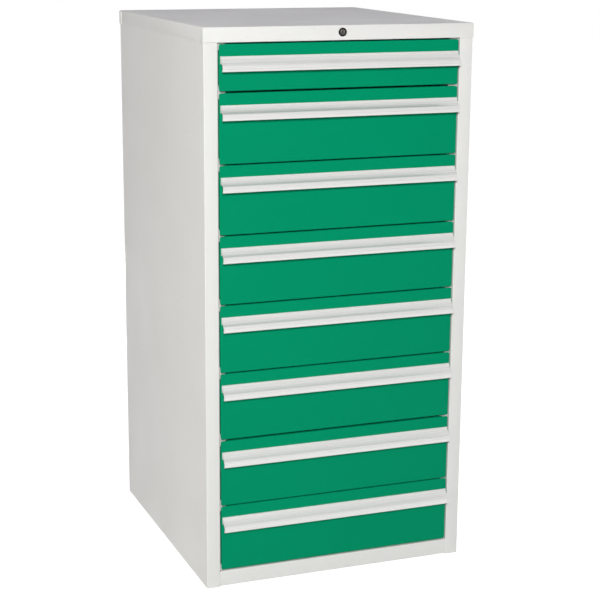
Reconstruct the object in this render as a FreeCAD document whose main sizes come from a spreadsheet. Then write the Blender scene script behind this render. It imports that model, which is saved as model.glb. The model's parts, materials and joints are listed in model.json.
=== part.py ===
import FreeCAD, Part

import math
import os

import Sketcher

# Multi-drawer steel cabinet with eight coloured drawers, a top fascia with a central lock and a plinth.
# Frame: +X to the viewer's right, +Y to the back, +Z up, in millimetres.
# Origin: on the floor, under the centre of the whole object's box.
# Drawer 1 is the shallow one at the top and drawer 8 is at the bottom. Every drawer is drawn closed.

DOC = FreeCAD.newDocument("DrawerCabinet")
SHEET = DOC.addObject("Spreadsheet::Sheet", "Sizes")

# Each driving dimension: its name, its value and what it is.
DIMENSIONS = [
    ("cab_width", 600, "carcass, outside faces of the side panels"),
    ("cab_depth", 650, "carcass, front face to back face"),
    ("cab_height", 1200, "floor to roof"),
    ("gauge", 1.2, "carcass sheet"),
    ("bend_radius", 2, "outside radius of the folds that show"),
    ("cap_overhang", 1.5, "how far the cap's ears and rear flange stand proud"),
    ("fascia_height", 31, "front flange of the cap"),
    ("cap_lip", 12, "return under the fascia"),
    ("ear_length", 18, "wrapped front corner of the cap, along the side"),
    ("rear_ear_length", 14, "wrapped rear corner of the cap"),
    ("roof_hole_radius", 3.5, "fixing holes in the roof"),
    ("roof_hole_pitch_x", 420, "fixing holes, across"),
    ("roof_hole_pitch_y", 460, "fixing holes, front to back"),
    ("roof_hole_setback", 95, "front face to the first fixing holes"),
    ("stile_width", 30, "front face of a side panel"),
    ("stile_return", 9.8, "fold behind the stile's inner edge"),
    ("rear_flange", 25, "rear fold of a side panel"),
    ("foot_flange", 25, "bottom fold of a side panel, which stands on the floor"),
    ("strip_play", 2, "ends of the strip that carries the cap, from the posts"),
    ("strip_drop", 8, "strip, down the side panel's skin"),
    ("back_gauge", 1, "back sheet"),
    ("plinth_top", 36.5, "floor to the top of the plinth rail"),
    ("plinth_lift", 2, "floor to the bottom of the plinth rail"),
    ("plinth_shelf", 30, "top fold of the plinth rail"),
    ("plinth_lip", 18, "bottom fold of the plinth rail"),
    ("plinth_play", 0.2, "seam at each end of the plinth rail"),
    ("drain_x", 243, "drain notch, from the centre line"),
    ("drain_radius", 1.5, "drain notch"),
    ("post_face", 250, "centre line to the inner face of a runner post"),
    ("post_gauge", 1.5, "post sheet"),
    ("post_width", 40, "post, front to back"),
    ("post_front_setback", 10, "front face to the front posts"),
    ("post_rear_setback", 560, "front face to the rear posts"),
    ("post_top", 1168.5, "floor to the top of the posts, just under the fascia"),
    ("perforation_width", 4, "slots in the post's face"),
    ("perforation_height", 12, "slots in the post's face"),
    ("perforation_pitch", 25, "slots in the post's face"),
    ("perforation_setback", 30, "post's front edge to the row of slots"),
    ("screw_setback", 8, "post's front edge to the slide screws"),
    ("front_width", 534, "drawer front"),
    ("front_depth", 8.5, "drawer front's folded edge"),
    ("front_corner", 4, "corner radius of a drawer front"),
    ("front_relief", 12, "corner cut-out in the folded edge"),
    ("front_rim", 2.5, "depth of the edge left at the corners"),
    ("shallow_front", 94.5, "height of the top drawer's front"),
    ("deep_front", 144.5, "height of the other fronts"),
    ("gap_over_1", 3.0, "fascia to front 1"),
    ("gap_over_2", 3.8, "front 1 to front 2"),
    ("gap_over_3", 2.7, "front 2 to front 3"),
    ("gap_over_4", 2.7, "front 3 to front 4"),
    ("gap_over_5", 2.6, "front 4 to front 5"),
    ("gap_over_6", 2.7, "front 5 to front 6"),
    ("gap_over_7", 3.8, "front 6 to front 7"),
    ("gap_over_8", 2.2, "front 7 to front 8"),
    ("tray_width", 464, "drawer tray, outside"),
    ("tray_length", 608.8, "drawer tray, outside"),
    ("tray_gauge", 1, "tray sheet"),
    ("tray_lift", 8, "front's bottom edge to the tray's bottom"),
    ("tray_drop", 16.5, "front's top edge to the tray's rim"),
    ("tray_hem", 6, "inward fold of the tray's rim"),
    ("tray_corner", 2, "upright corners of the tray"),
    ("catch_reach", 17.5, "lock catch, outward from the tray"),
    ("catch_gauge", 2.5, "lock catch, front to back"),
    ("catch_setback", 30, "front face to the lock catch"),
    ("catch_bottom", 68.5, "front's bottom edge to the lock catch"),
    ("catch_height", 8, "lock catch"),
    ("slide_length", 600, "each member of a telescopic slide"),
    ("slide_setback", 12, "front face to the slide"),
    ("slide_centre", 33, "front's bottom edge to the slide's middle"),
    ("outer_half", 22.5, "cabinet member, half its height"),
    ("outer_reach", 12, "cabinet member, thickness"),
    ("outer_gauge", 1.5, "cabinet member sheet"),
    ("middle_half", 18, "middle member, half its height"),
    ("middle_inset", 4.2, "post face to the middle member"),
    ("middle_reach", 8.8, "middle member, thickness"),
    ("inner_half", 13.8, "drawer member, half its height"),
    ("inner_reach", 11.5, "drawer member, thickness"),
    ("inner_gauge", 1.5, "drawer member's web"),
    ("cage_play", 0.3, "ball cage to the members beside it"),
    ("cage_length", 280, "ball cage"),
    ("cage_width", 5, "ball cage"),
    ("cage_inset", 7, "post face to the ball cages"),
    ("screw_head_radius", 4.5, "slide screw"),
    ("screw_head_height", 2, "slide screw"),
    ("screw_shank_radius", 2.4, "slide screw"),
    ("screw_shank_length", 6, "slide screw"),
    ("screw_play", 0.3, "slide screw in the slide's hole"),
    ("thread_play", 0.1, "slide screw in the post's hole"),
    ("handle_inset", 2, "front's end to the handle's end"),
    ("handle_drop", 24, "front's top edge to the handle's top"),
    ("handle_reach", 18, "handle, out from the front"),
    ("handle_height", 30.5, "handle, top to bottom"),
    ("handle_lip", 2.2, "upright top edge of the handle"),
    ("handle_lip_reach", 3, "top edge, out from the front"),
    ("handle_hollow", 44, "radius of the shallow hollow above the nose"),
    ("handle_brow_reach", 15, "lower end of the hollow, out from the front"),
    ("handle_brow_drop", 16.4, "lower end of the hollow, below the handle's top"),
    ("handle_brow_round", 6.9, "radius from the hollow to the nose"),
    ("handle_nose_drop", 21, "upper end of the nose's face, below the handle's top"),
    ("handle_bulge", 0.35, "crown of the nose"),
    ("handle_skin", 2, "thickness of the section"),
    ("handle_bead", 2, "radius of the rolled bottom edge"),
    ("handle_leg", 15.6, "flat leg against the front"),
    ("handle_root", 4.6, "handle's top to where its inner side leaves the leg"),
    ("handle_inner_reach", 13.8, "inner side under the brow, out from the front"),
    ("handle_inner_drop", 18, "inner side under the brow, below the handle's top"),
    ("lock_drop", 14.5, "roof to the lock's centre"),
    ("bezel_radius", 9, "lock, the rim that shows"),
    ("bezel_height", 2.2, "lock rim, out from the fascia"),
    ("bezel_chamfer", 0.7, "lock rim's edge"),
    ("barrel_radius", 8, "lock body"),
    ("barrel_length", 16, "lock body behind the fascia"),
    ("plug_radius", 6, "turning plug"),
    ("plug_play", 0.05, "plug in the lock body"),
    ("plug_recess", 0.6, "plug's face behind the rim's"),
    ("plug_length", 17, "plug's shoulder behind the fascia's face"),
    ("tail_radius", 3.5, "plug's tail"),
    ("tail_length", 3, "plug's tail"),
    ("key_width", 1.8, "keyway"),
    ("key_height", 8, "keyway"),
    ("key_depth", 9, "keyway"),
    ("nut_flats", 22, "lock nut, across flats"),
    ("nut_height", 4, "lock nut"),
    ("nut_play", 0.05, "lock nut on the lock body"),
    ("cam_radius", 10, "lock's centre to the crank pin"),
    ("cam_gauge", 2, "crank plate"),
    ("cam_hub", 6.5, "crank plate's hub"),
    ("pin_radius", 2, "crank pin and bar pin"),
    ("pin_play", 0.5, "pins in their slots"),
    ("link_setback", 22, "front face to the link"),
    ("link_gauge", 2, "link"),
    ("link_tail", 24, "link, left of the lock's centre"),
    ("link_bottom", 1170.6, "floor to the link"),
    ("link_height", 12.8, "link"),
    ("link_head_height", 26, "link's head"),
    ("bar_centre", 265, "centre line to the lock bar"),
    ("bar_width", 6, "lock bar"),
    ("bar_gauge", 3, "lock bar"),
    ("bar_setback", 26, "front face to the lock bar"),
    ("bar_bottom", 60, "floor to the lock bar"),
    ("bar_pin_height", 1175.5, "floor to the lock bar's pin"),
    ("hook_tip", 246.5, "centre line to the hooks' tips"),
    ("hook_bottom", 57.5, "front's bottom edge to the hook"),
    ("hook_height", 8, "hook"),
    ("hook_slot_play", 1.5, "hook in the post's slot"),
    ("guide_height", 12, "guide of the lock bar"),
    ("guide_width", 20.5, "guide, out from the post"),
    ("guide_wall", 3, "guide, round the bar"),
    ("guide_play", 0.4, "bar in its guides"),
    ("guide_rise", 100, "front's bottom edge to the guide"),
    ("link_guide_first", 70, "centre line to the link's first guide"),
    ("link_guide_pitch", 110, "link's guides"),
]

DRAWERS = range(1, 9)
GUIDED_DRAWERS = (2, 5, 8)
LEFT = -1
RIGHT = 1
ALONG_X = 0
ALONG_Y = 1
ALONG_Z = 2
TOUCH = 1e-4
NODES = []


class Size:
    """A length with its value and the expression that ties it to the sheet."""

    def __init__(self, value, text):
        self.value = value
        self.text = text

    def joined(self, other, value, sign):
        return Size(value, f"({self.text} {sign} {other.text})")

    def __add__(self, other):
        other = size(other)
        return self.joined(other, self.value + other.value, "+")

    def __sub__(self, other):
        other = size(other)
        return self.joined(other, self.value - other.value, "-")

    def __mul__(self, other):
        other = size(other)
        return self.joined(other, self.value * other.value, "*")

    def __truediv__(self, other):
        other = size(other)
        return self.joined(other, self.value / other.value, "/")

    def __radd__(self, other):
        return size(other) + self

    def __rsub__(self, other):
        return size(other) - self

    def __rmul__(self, other):
        return size(other) * self

    def __neg__(self):
        return size(-1) * self


def size(value):
    """A plain number or a Size as a Size."""
    if isinstance(value, Size):
        return value
    return Size(float(value), f"({value})")


def fill_sheet():
    """Writes the driving dimensions into the sheet, one row each, and returns them by name."""
    found = {}
    for row, (name, value, words) in enumerate(DIMENSIONS, 1):
        SHEET.set(f"A{row}", words)
        SHEET.set(f"B{row}", str(value))
        SHEET.setAlias(f"B{row}", name)
        found[name] = Size(float(value), f"Sizes.{name}")
    DOC.recompute()
    return found


D = fill_sheet()

# Planes and lines that several pieces share.
HALF = D["cab_width"] / 2
FRONT_Y = D["handle_reach"] - (D["cab_depth"] + D["cap_overhang"] + D["handle_reach"]) / 2
SKIN = HALF - D["gauge"]
CAP_BOTTOM = D["cab_height"] - D["fascia_height"]
LOCK_Z = D["cab_height"] - D["lock_drop"]
TRAY_HALF = D["tray_width"] / 2
OUTER_FLANGE = D["post_face"] - D["outer_reach"]
OUTER_WEB = D["post_face"] - D["outer_gauge"]
MIDDLE_WEB = D["post_face"] - D["middle_inset"]
PIN_THROW = D["cam_radius"] * math.sin(math.radians(45))
LOCK_TRAVEL = PIN_THROW * 2


def front_height(drawer):
    """The height of a drawer's front."""
    return D["shallow_front"] if drawer == 1 else D["deep_front"]


def front_bottom(drawer):
    """The height of the bottom edge of a drawer's front above the floor."""
    level = CAP_BOTTOM
    for above in range(1, drawer + 1):
        level = level - D[f"gap_over_{above}"] - front_height(above)
    return level


# Drawing helpers

def bind(thing, name, length):
    """Ties one property of an object to an expression."""
    thing.setExpression(name, size(length).text)


def place(thing, x=0, y=FRONT_Y, z=0):
    """Places a sub-part. Y counts from the front face unless the caller says otherwise."""
    thing.Placement = FreeCAD.Placement(
        FreeCAD.Vector(size(x).value, size(y).value, size(z).value), FreeCAD.Rotation()
    )
    for axis, length in (("x", x), ("y", y), ("z", z)):
        bind(thing, f"Placement.Base.{axis}", length)
    return thing


def new_body(name):
    """An empty body with its label."""
    body = DOC.addObject("PartDesign::Body", name)
    body.Label = name
    return body


def origin_feature(body, role):
    """One of the body's own origin planes or axes."""
    return next(f for f in body.Origin.OriginFeatures if f.Role == role)


def new_sketch(body, role, offset=0):
    """A sketch on one of the body's origin planes, moved along that plane's normal."""
    sketch = body.newObject("Sketcher::SketchObject", f"{body.Name}_sketch")
    sketch.AttachmentSupport = (origin_feature(body, role), [""])
    sketch.MapMode = "FlatFace"
    sketch.AttachmentOffset = FreeCAD.Placement(
        FreeCAD.Vector(0, 0, size(offset).value), FreeCAD.Rotation()
    )
    bind(sketch, "AttachmentOffset.Base.z", offset)
    return sketch


def pin_point(sketch, geometry, corner, point):
    """Fixes one point of a sketch at a bound distance from the sketch's origin."""
    across = sketch.addConstraint(
        Sketcher.Constraint("DistanceX", -1, 1, geometry, corner, size(point[0]).value)
    )
    bind(sketch, f"Constraints[{across}]", point[0])
    upward = sketch.addConstraint(
        Sketcher.Constraint("DistanceY", -1, 1, geometry, corner, size(point[1]).value)
    )
    bind(sketch, f"Constraints[{upward}]", point[1])


def flat(point):
    """A pair of sizes as a vector in the sketch's plane."""
    return FreeCAD.Vector(size(point[0]).value, size(point[1]).value, 0)


def arc_between(start, end, radius, left_turn):
    """The short arc of a radius from start to end, turning left or right."""
    chord = end - start
    rise = math.sqrt(max(radius**2 - (chord.Length / 2) ** 2, 0))
    across = FreeCAD.Vector(-chord.y, chord.x, 0).normalize()
    centre = (start + end) / 2 + across * (rise if left_turn else -rise)
    first = start if left_turn else end
    last = end if left_turn else start
    circle = Part.Circle(centre, FreeCAD.Vector(0, 0, 1), radius)
    return Part.ArcOfCircle(
        circle,
        math.atan2(first.y - centre.y, first.x - centre.x),
        math.atan2(last.y - centre.y, last.x - centre.x),
    )


def outline(sketch, corners, arcs=None):
    """A closed outline through corners. arcs holds each arc's radius and turn, by the corner it leaves."""
    arcs = arcs or {}
    first = sketch.GeometryCount
    ends = []
    for number, corner in enumerate(corners):
        start = flat(corner)
        end = flat(corners[(number + 1) % len(corners)])
        if number in arcs:
            radius, left_turn = arcs[number]
            edge = arc_between(start, end, size(radius).value, left_turn)
            ends.append((1, 2) if left_turn else (2, 1))
        else:
            edge = Part.LineSegment(start, end)
            ends.append((1, 2))
        sketch.addGeometry(edge, False)
    for number, (start, end) in enumerate(ends):
        following = (number + 1) % len(corners)
        sketch.addConstraint(
            Sketcher.Constraint("Coincident", first + number, end, first + following, ends[following][0])
        )
    for number, corner in enumerate(corners):
        pin_point(sketch, first + number, ends[number][0], corner)
    for number, (radius, left_turn) in arcs.items():
        fixed = sketch.addConstraint(Sketcher.Constraint("Radius", first + number, size(radius).value))
        bind(sketch, f"Constraints[{fixed}]", radius)


def rectangle(sketch, low_x, low_y, high_x, high_y):
    """A rectangle from its low corner to its high corner."""
    outline(sketch, [(low_x, low_y), (high_x, low_y), (high_x, high_y), (low_x, high_y)])


def circle(sketch, x, y, radius):
    """A circle with a bound centre and radius."""
    number = sketch.addGeometry(
        Part.Circle(flat((x, y)), FreeCAD.Vector(0, 0, 1), size(radius).value), False
    )
    pin_point(sketch, number, 3, (x, y))
    fixed = sketch.addConstraint(Sketcher.Constraint("Radius", number, size(radius).value))
    bind(sketch, f"Constraints[{fixed}]", radius)


def pad(body, sketch, length, backward=False, both=False):
    """Adds material from a sketch, along its plane's normal or against it."""
    feature = body.newObject("PartDesign::Pad", f"{body.Name}_pad")
    feature.Profile = sketch
    bind(feature, "Length", length)
    feature.Reversed = backward
    feature.SideType = "Symmetric" if both else "One side"
    return feature


def pocket(body, sketch, depth, upward=False):
    """Cuts from a sketch against its plane's normal, or along it."""
    feature = body.newObject("PartDesign::Pocket", f"{body.Name}_pocket")
    feature.Profile = sketch
    bind(feature, "Length", depth)
    feature.Reversed = upward
    return feature


def edge_names(shape, wanted):
    """The names of the edges for which wanted is true."""
    return [f"Edge{number}" for number, edge in enumerate(shape.Edges, 1) if wanted(edge)]


def along(axis, *places):
    """A test for straight edges along an axis through one of the places, each given on the other axes."""

    def wanted(edge):
        low, high = edge.Vertexes[0].Point, edge.Vertexes[-1].Point
        direction = high - low
        if abs(abs(direction[axis]) - direction.Length) > TOUCH or direction.Length < TOUCH:
            return False
        return any(
            all(abs(low[other] - size(length).value) < TOUCH for other, length in place_at)
            for place_at in places
        )

    return wanted


def in_plane(axis, length):
    """A test for edges that lie in the plane at that length along the axis."""

    def wanted(edge):
        box = edge.BoundBox
        low = (box.XMin, box.YMin, box.ZMin)[axis]
        high = (box.XMax, box.YMax, box.ZMax)[axis]
        level = size(length).value
        return abs(low - level) < TOUCH and abs(high - level) < TOUCH

    return wanted


def round_edges(body, radius, wanted):
    """Rounds the wanted edges of the body's last feature."""
    DOC.recompute()
    base = body.Tip
    fillet = body.newObject("PartDesign::Fillet", f"{body.Name}_round")
    fillet.Base = (base, edge_names(base.Shape, wanted))
    bind(fillet, "Radius", radius)
    return fillet


def box(name, low, high):
    """A plain block between two corners, bound to the sheet, with its place in its Placement."""
    block = DOC.addObject("Part::Box", name)
    block.Label = name
    for side, start, end in zip(("Length", "Width", "Height"), low, high, strict=True):
        setattr(block, side, (size(end) - start).value)
        bind(block, side, size(end) - start)
    return place(block, *low)


def cylinder(name, radius, length, x, y, z, axis):
    """A round bar that starts at a point and runs along +X or +Y."""
    bar = DOC.addObject("Part::Cylinder", name)
    bar.Label = name
    bind(bar, "Radius", radius)
    bind(bar, "Height", length)
    place(bar, x, y, z)
    turn = FreeCAD.Rotation(FreeCAD.Vector(0, 0, 1), axis)
    bar.Placement.Rotation = turn
    return bar


def group(name, members):
    """Several separate solids that make one node."""
    compound = DOC.addObject("Part::Compound", name)
    compound.Label = name
    compound.Links = members
    return compound


def mirrored(name, source):
    """The same piece for the other side of the cabinet."""
    twin = DOC.addObject("Part::Mirroring", name)
    twin.Label = name
    twin.Source = source
    twin.Normal = FreeCAD.Vector(1, 0, 0)
    return twin


def node(thing):
    """Marks an object as a sub-part that is written to its own file."""
    NODES.append(thing)
    return thing


# Carcass

def side_panel():
    """Left side panel: a skin with a stile folded at the front, a rear flange and a foot flange."""
    body = new_body("side_panel_left")
    section = new_sketch(body, "XY_Plane")
    stile = D["stile_width"] - HALF
    outline(
        section,
        [
            (-HALF, 0),
            (stile, 0),
            (stile, D["stile_return"]),
            (stile - D["gauge"], D["stile_return"]),
            (stile - D["gauge"], D["gauge"]),
            (-SKIN, D["gauge"]),
            (-SKIN, D["cab_depth"] - D["gauge"]),
            (D["rear_flange"] - HALF, D["cab_depth"] - D["gauge"]),
            (D["rear_flange"] - HALF, D["cab_depth"]),
            (-HALF, D["cab_depth"]),
        ],
    )
    pad(body, section, CAP_BOTTOM)
    foot = new_sketch(body, "XY_Plane")
    rectangle(foot, -SKIN, D["gauge"], D["foot_flange"] - HALF, D["cab_depth"] - D["gauge"])
    pad(body, foot, D["gauge"])
    strip = new_sketch(body, "XY_Plane", CAP_BOTTOM - D["strip_drop"])
    near = D["post_front_setback"] + D["post_width"] + D["strip_play"]
    far = D["post_rear_setback"] - D["strip_play"]
    rectangle(strip, -SKIN, near, D["gauge"] - SKIN, far)
    pad(body, strip, D["strip_drop"] + D["fascia_height"] - D["gauge"] * 2)
    corners = [
        ((ALONG_X, -HALF), (ALONG_Y, 0)),
        ((ALONG_X, stile), (ALONG_Y, 0)),
        ((ALONG_X, -HALF), (ALONG_Y, D["cab_depth"])),
    ]
    round_edges(body, D["bend_radius"], along(ALONG_Z, *corners))
    return node(place(body))


def cap_ear(body, near, corners):
    """A wrapped corner of the cap that stands proud of the side, drawn on the plane at near."""
    sketch = new_sketch(body, "YZ_Plane", near)
    outline(sketch, corners)
    pad(body, sketch, D["cap_overhang"])


def top_cap():
    """Roof with its fascia, side and rear flanges, wrapped corners, lock hole and fixing holes."""
    body = new_body("top_cap")
    rear = D["cab_depth"] + D["cap_overhang"]
    plan = new_sketch(body, "XY_Plane", CAP_BOTTOM)
    rectangle(plan, -HALF, 0, HALF, rear)
    pad(body, plan, D["fascia_height"])
    round_edges(body, D["bend_radius"], in_plane(ALONG_Z, D["cab_height"]))
    hollow = new_sketch(body, "XY_Plane", CAP_BOTTOM)
    rectangle(hollow, -SKIN, D["gauge"], SKIN, rear - D["gauge"])
    pocket(body, hollow, D["fascia_height"] - D["gauge"], upward=True)
    lip = new_sketch(body, "XY_Plane", CAP_BOTTOM)
    rectangle(lip, -SKIN, D["gauge"], SKIN, D["cap_lip"])
    pad(body, lip, D["gauge"])
    shoulder = D["cab_height"] - D["bend_radius"]
    front_ear = [
        (0, CAP_BOTTOM),
        (D["ear_length"], CAP_BOTTOM),
        (D["ear_length"], shoulder - D["ear_length"]),
        (0, shoulder),
    ]
    rear_ear = [
        (rear - D["rear_ear_length"], CAP_BOTTOM),
        (rear, CAP_BOTTOM),
        (rear, shoulder),
        (rear - D["rear_ear_length"], shoulder),
    ]
    for near in (-HALF - D["cap_overhang"], HALF):
        cap_ear(body, near, front_ear)
        cap_ear(body, near, rear_ear)
    lock_hole = new_sketch(body, "XZ_Plane")
    circle(lock_hole, 0, LOCK_Z, D["barrel_radius"] + D["thread_play"])
    pocket(body, lock_hole, D["gauge"] * 2)
    fixings = new_sketch(body, "XY_Plane", D["cab_height"])
    for side in (LEFT, RIGHT):
        for row in (D["roof_hole_setback"], D["roof_hole_setback"] + D["roof_hole_pitch_y"]):
            circle(fixings, D["roof_hole_pitch_x"] / 2 * side, row, D["roof_hole_radius"])
    pocket(body, fixings, D["gauge"] * 2)
    return node(place(body))


def back_panel():
    """Back sheet between the side panels, against the inside of their rear flanges."""
    inside = D["cab_depth"] - D["gauge"] - D["back_gauge"]
    edge = SKIN - D["plinth_play"] * 4
    return node(
        box(
            "back_panel",
            (-edge, FRONT_Y + inside, D["gauge"] + D["plinth_play"]),
            (edge, FRONT_Y + inside + D["back_gauge"], D["cab_height"] - D["gauge"] * 3),
        )
    )


def base_panel():
    """Bottom sheet with folds down its sides and back that stand on the side panels' feet."""
    body = new_body("base_panel")
    edge = SKIN - D["plinth_play"]
    rear = D["cab_depth"] - D["gauge"] - D["back_gauge"] - D["plinth_play"]
    plan = new_sketch(body, "XY_Plane", D["gauge"])
    rectangle(plan, -edge, D["post_front_setback"], edge, rear)
    pad(body, plan, D["plinth_top"] - D["gauge"] * 2)
    hollow = new_sketch(body, "XY_Plane", D["gauge"])
    rectangle(hollow, D["gauge"] - edge, 0, edge - D["gauge"], rear - D["gauge"])
    pocket(body, hollow, D["plinth_top"] - D["gauge"] * 3, upward=True)
    return node(place(body))


def plinth_rail():
    """Folded rail between the stiles, under the bottom drawer, with a drain notch in its lower edge."""
    body = new_body("plinth_rail")
    section = new_sketch(body, "YZ_Plane")
    outline(
        section,
        [
            (0, D["plinth_lift"]),
            (D["plinth_lip"], D["plinth_lift"]),
            (D["plinth_lip"], D["plinth_lift"] + D["gauge"]),
            (D["gauge"], D["plinth_lift"] + D["gauge"]),
            (D["gauge"], D["plinth_top"] - D["gauge"]),
            (D["plinth_shelf"], D["plinth_top"] - D["gauge"]),
            (D["plinth_shelf"], D["plinth_top"]),
            (0, D["plinth_top"]),
        ],
    )
    pad(body, section, (HALF - D["stile_width"] - D["plinth_play"]) * 2, both=True)
    folds = [
        ((ALONG_Y, 0), (ALONG_Z, D["plinth_lift"])),
        ((ALONG_Y, 0), (ALONG_Z, D["plinth_top"])),
    ]
    round_edges(body, D["bend_radius"], along(ALONG_X, *folds))
    notch = new_sketch(body, "XZ_Plane")
    circle(notch, D["drain_x"], D["plinth_lift"], D["drain_radius"])
    pocket(body, notch, D["gauge"] * 2)
    return node(place(body))


def runner_post(name, side, setback, foot, hooked=False):
    """Channel that carries the slides on one side, open towards the side panel."""
    body = new_body(name)
    section = new_sketch(body, "XY_Plane", foot)
    face = D["post_face"] * side
    inner = (D["post_face"] + D["post_gauge"]) * side
    wall = SKIN * side
    rear = setback + D["post_width"]
    outline(
        section,
        [
            (face, setback),
            (wall, setback),
            (wall, setback + D["post_gauge"]),
            (inner, setback + D["post_gauge"]),
            (inner, rear - D["post_gauge"]),
            (wall, rear - D["post_gauge"]),
            (wall, rear),
            (face, rear),
        ],
    )
    pad(body, section, D["post_top"] - foot)
    folds = [((ALONG_X, face), (ALONG_Y, setback)), ((ALONG_X, face), (ALONG_Y, rear))]
    round_edges(body, D["bend_radius"], along(ALONG_Z, *folds))
    outer_plane = D["post_face"] if side == RIGHT else -D["post_face"] - D["post_gauge"]
    depth = D["post_gauge"]

    def cut(sketch):
        return pocket(body, sketch, depth, upward=True)

    screws = new_sketch(body, "YZ_Plane", outer_plane)
    for drawer in DRAWERS:
        level = front_bottom(drawer) + D["slide_centre"]
        radius = D["screw_shank_radius"] + D["thread_play"]
        circle(screws, setback + D["screw_setback"], level, radius)
    cut(screws)
    if hooked:
        slots = new_sketch(body, "YZ_Plane", outer_plane)
        for drawer in DRAWERS:
            low = front_bottom(drawer) + D["hook_bottom"] - D["hook_slot_play"]
            high = low + D["hook_height"] + LOCK_TRAVEL + D["hook_slot_play"] * 2
            near = D["bar_setback"] - D["hook_slot_play"]
            far = D["bar_setback"] + D["bar_gauge"] + D["hook_slot_play"]
            rectangle(slots, near, low, far, high)
        cut(slots)
    row = new_sketch(body, "YZ_Plane", outer_plane)
    near = setback + D["perforation_setback"]
    low = D["plinth_top"] + D["perforation_pitch"]
    rectangle(row, near, low, near + D["perforation_width"], low + D["perforation_height"])
    first = cut(row)
    run = D["post_top"] - low - D["perforation_pitch"]
    count = int(run.value / D["perforation_pitch"].value) + 1
    pattern = body.newObject("PartDesign::LinearPattern", f"{name}_row")
    pattern.Originals = [first]
    pattern.Direction = (origin_feature(body, "Z_Axis"), [""])
    bind(pattern, "Length", D["perforation_pitch"] * (count - 1))
    pattern.Occurrences = count
    body.Tip = pattern
    return node(place(body))


def runner_posts():
    """The four posts: the front pair stand on the plinth rail and the rear pair on the base."""
    base = D["plinth_top"] - D["gauge"]
    near = D["post_front_setback"]
    far = D["post_rear_setback"]
    runner_post("runner_post_front_left", LEFT, near, D["plinth_top"])
    runner_post("runner_post_front_right", RIGHT, near, D["plinth_top"], hooked=True)
    runner_post("runner_post_rear_left", LEFT, far, base)
    runner_post("runner_post_rear_right", RIGHT, far, base)


# Telescopic slides

def slide_member(name, corners, level):
    """A rolled section that runs the slide's length on the right of the cabinet."""
    body = new_body(name)
    section = new_sketch(body, "XZ_Plane")
    outline(section, corners)
    pad(body, section, D["slide_length"], backward=True)
    return place(body, 0, FRONT_Y + D["slide_setback"], level + D["slide_centre"])


def channel(web, flange, half, web_gauge, flange_gauge):
    """Corners of a channel section from its web to its flanges' tips, in the X and Z directions."""
    inside = web + web_gauge
    return [
        (web, -half),
        (flange, -half),
        (flange, flange_gauge - half),
        (inside, flange_gauge - half),
        (inside, half - flange_gauge),
        (flange, half - flange_gauge),
        (flange, half),
        (web, half),
    ]


def cabinet_member(drawer):
    """Right-hand slide member that is screwed to the posts."""
    corners = channel(
        D["post_face"], OUTER_FLANGE, D["outer_half"], -D["outer_gauge"], D["outer_gauge"]
    )
    body = slide_member(f"cabinet_member_{drawer}", corners, front_bottom(drawer))
    holes = new_sketch(body, "YZ_Plane", D["post_face"])
    for setback in (D["post_front_setback"], D["post_rear_setback"]):
        centre = setback + D["screw_setback"] - D["slide_setback"]
        circle(holes, centre, 0, D["screw_shank_radius"] + D["screw_play"])
    pocket(body, holes, D["outer_gauge"])
    return body


def cabinet_runners():
    """The eight fixed slide members of each side."""
    right = group("cabinet_runners_right", [cabinet_member(drawer) for drawer in DRAWERS])
    node(right)
    node(mirrored("cabinet_runners_left", right))


def ball_cage(name, low_z, high_z, low_y, level):
    """A strip that holds the balls of one race, on the right of the cabinet."""
    far = D["post_face"] - D["cage_inset"]
    start = FRONT_Y + D["slide_setback"] + low_y
    middle = level + D["slide_centre"]
    return box(
        name,
        (far - D["cage_width"], start, middle + low_z),
        (far, start + D["cage_length"], middle + high_z),
    )


def slide_middle(drawer):
    """Both middle members of a drawer's slides, with the cages of the outer and inner races."""
    level = front_bottom(drawer)
    reach = MIDDLE_WEB - D["middle_reach"]
    corners = channel(MIDDLE_WEB, reach, D["middle_half"], -D["gauge"], D["gauge"])
    member = slide_member(f"middle_member_{drawer}", corners, level)
    play = D["cage_play"]
    outer = (D["middle_half"] + play, D["outer_half"] - D["outer_gauge"] - play)
    inner = (D["inner_half"] + play, D["middle_half"] - D["gauge"] - play)
    rear = D["slide_length"] - D["cage_length"]
    members = [member]
    for race, (low, high), start in (("outer", outer, rear), ("inner", inner, size(0))):
        above = ball_cage(f"{race}_cage_above_{drawer}", low, high, start, level)
        below = ball_cage(f"{race}_cage_below_{drawer}", -high, -low, start, level)
        members += [above, below]
    right = group(f"middle_right_{drawer}", members)
    left = mirrored(f"middle_left_{drawer}", right)
    node(group(f"slide_middle_{drawer}", [left, right]))


def drawer_runner(drawer):
    """Both slide members that are fixed to a drawer's tray."""
    corners = channel(
        TRAY_HALF, TRAY_HALF + D["inner_reach"], D["inner_half"], D["inner_gauge"], D["gauge"]
    )
    right = slide_member(f"drawer_member_{drawer}", corners, front_bottom(drawer))
    left = mirrored(f"drawer_member_left_{drawer}", right)
    node(group(f"drawer_runner_{drawer}", [left, right]))


def slide_screw(name, setback, drawer):
    """A pan-head screw through a fixed slide member into a post."""
    start = FRONT_Y + setback + D["screw_setback"]
    level = front_bottom(drawer) + D["slide_centre"]
    outward = FreeCAD.Vector(1, 0, 0)
    head = cylinder(
        f"{name}_head",
        D["screw_head_radius"],
        D["screw_head_height"],
        OUTER_WEB - D["screw_head_height"],
        start,
        level,
        outward,
    )
    shank = cylinder(
        f"{name}_shank",
        D["screw_shank_radius"],
        D["screw_shank_length"],
        OUTER_WEB,
        start,
        level,
        outward,
    )
    screw = DOC.addObject("Part::Fuse", name)
    screw.Base = head
    screw.Tool = shank
    return screw


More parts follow.
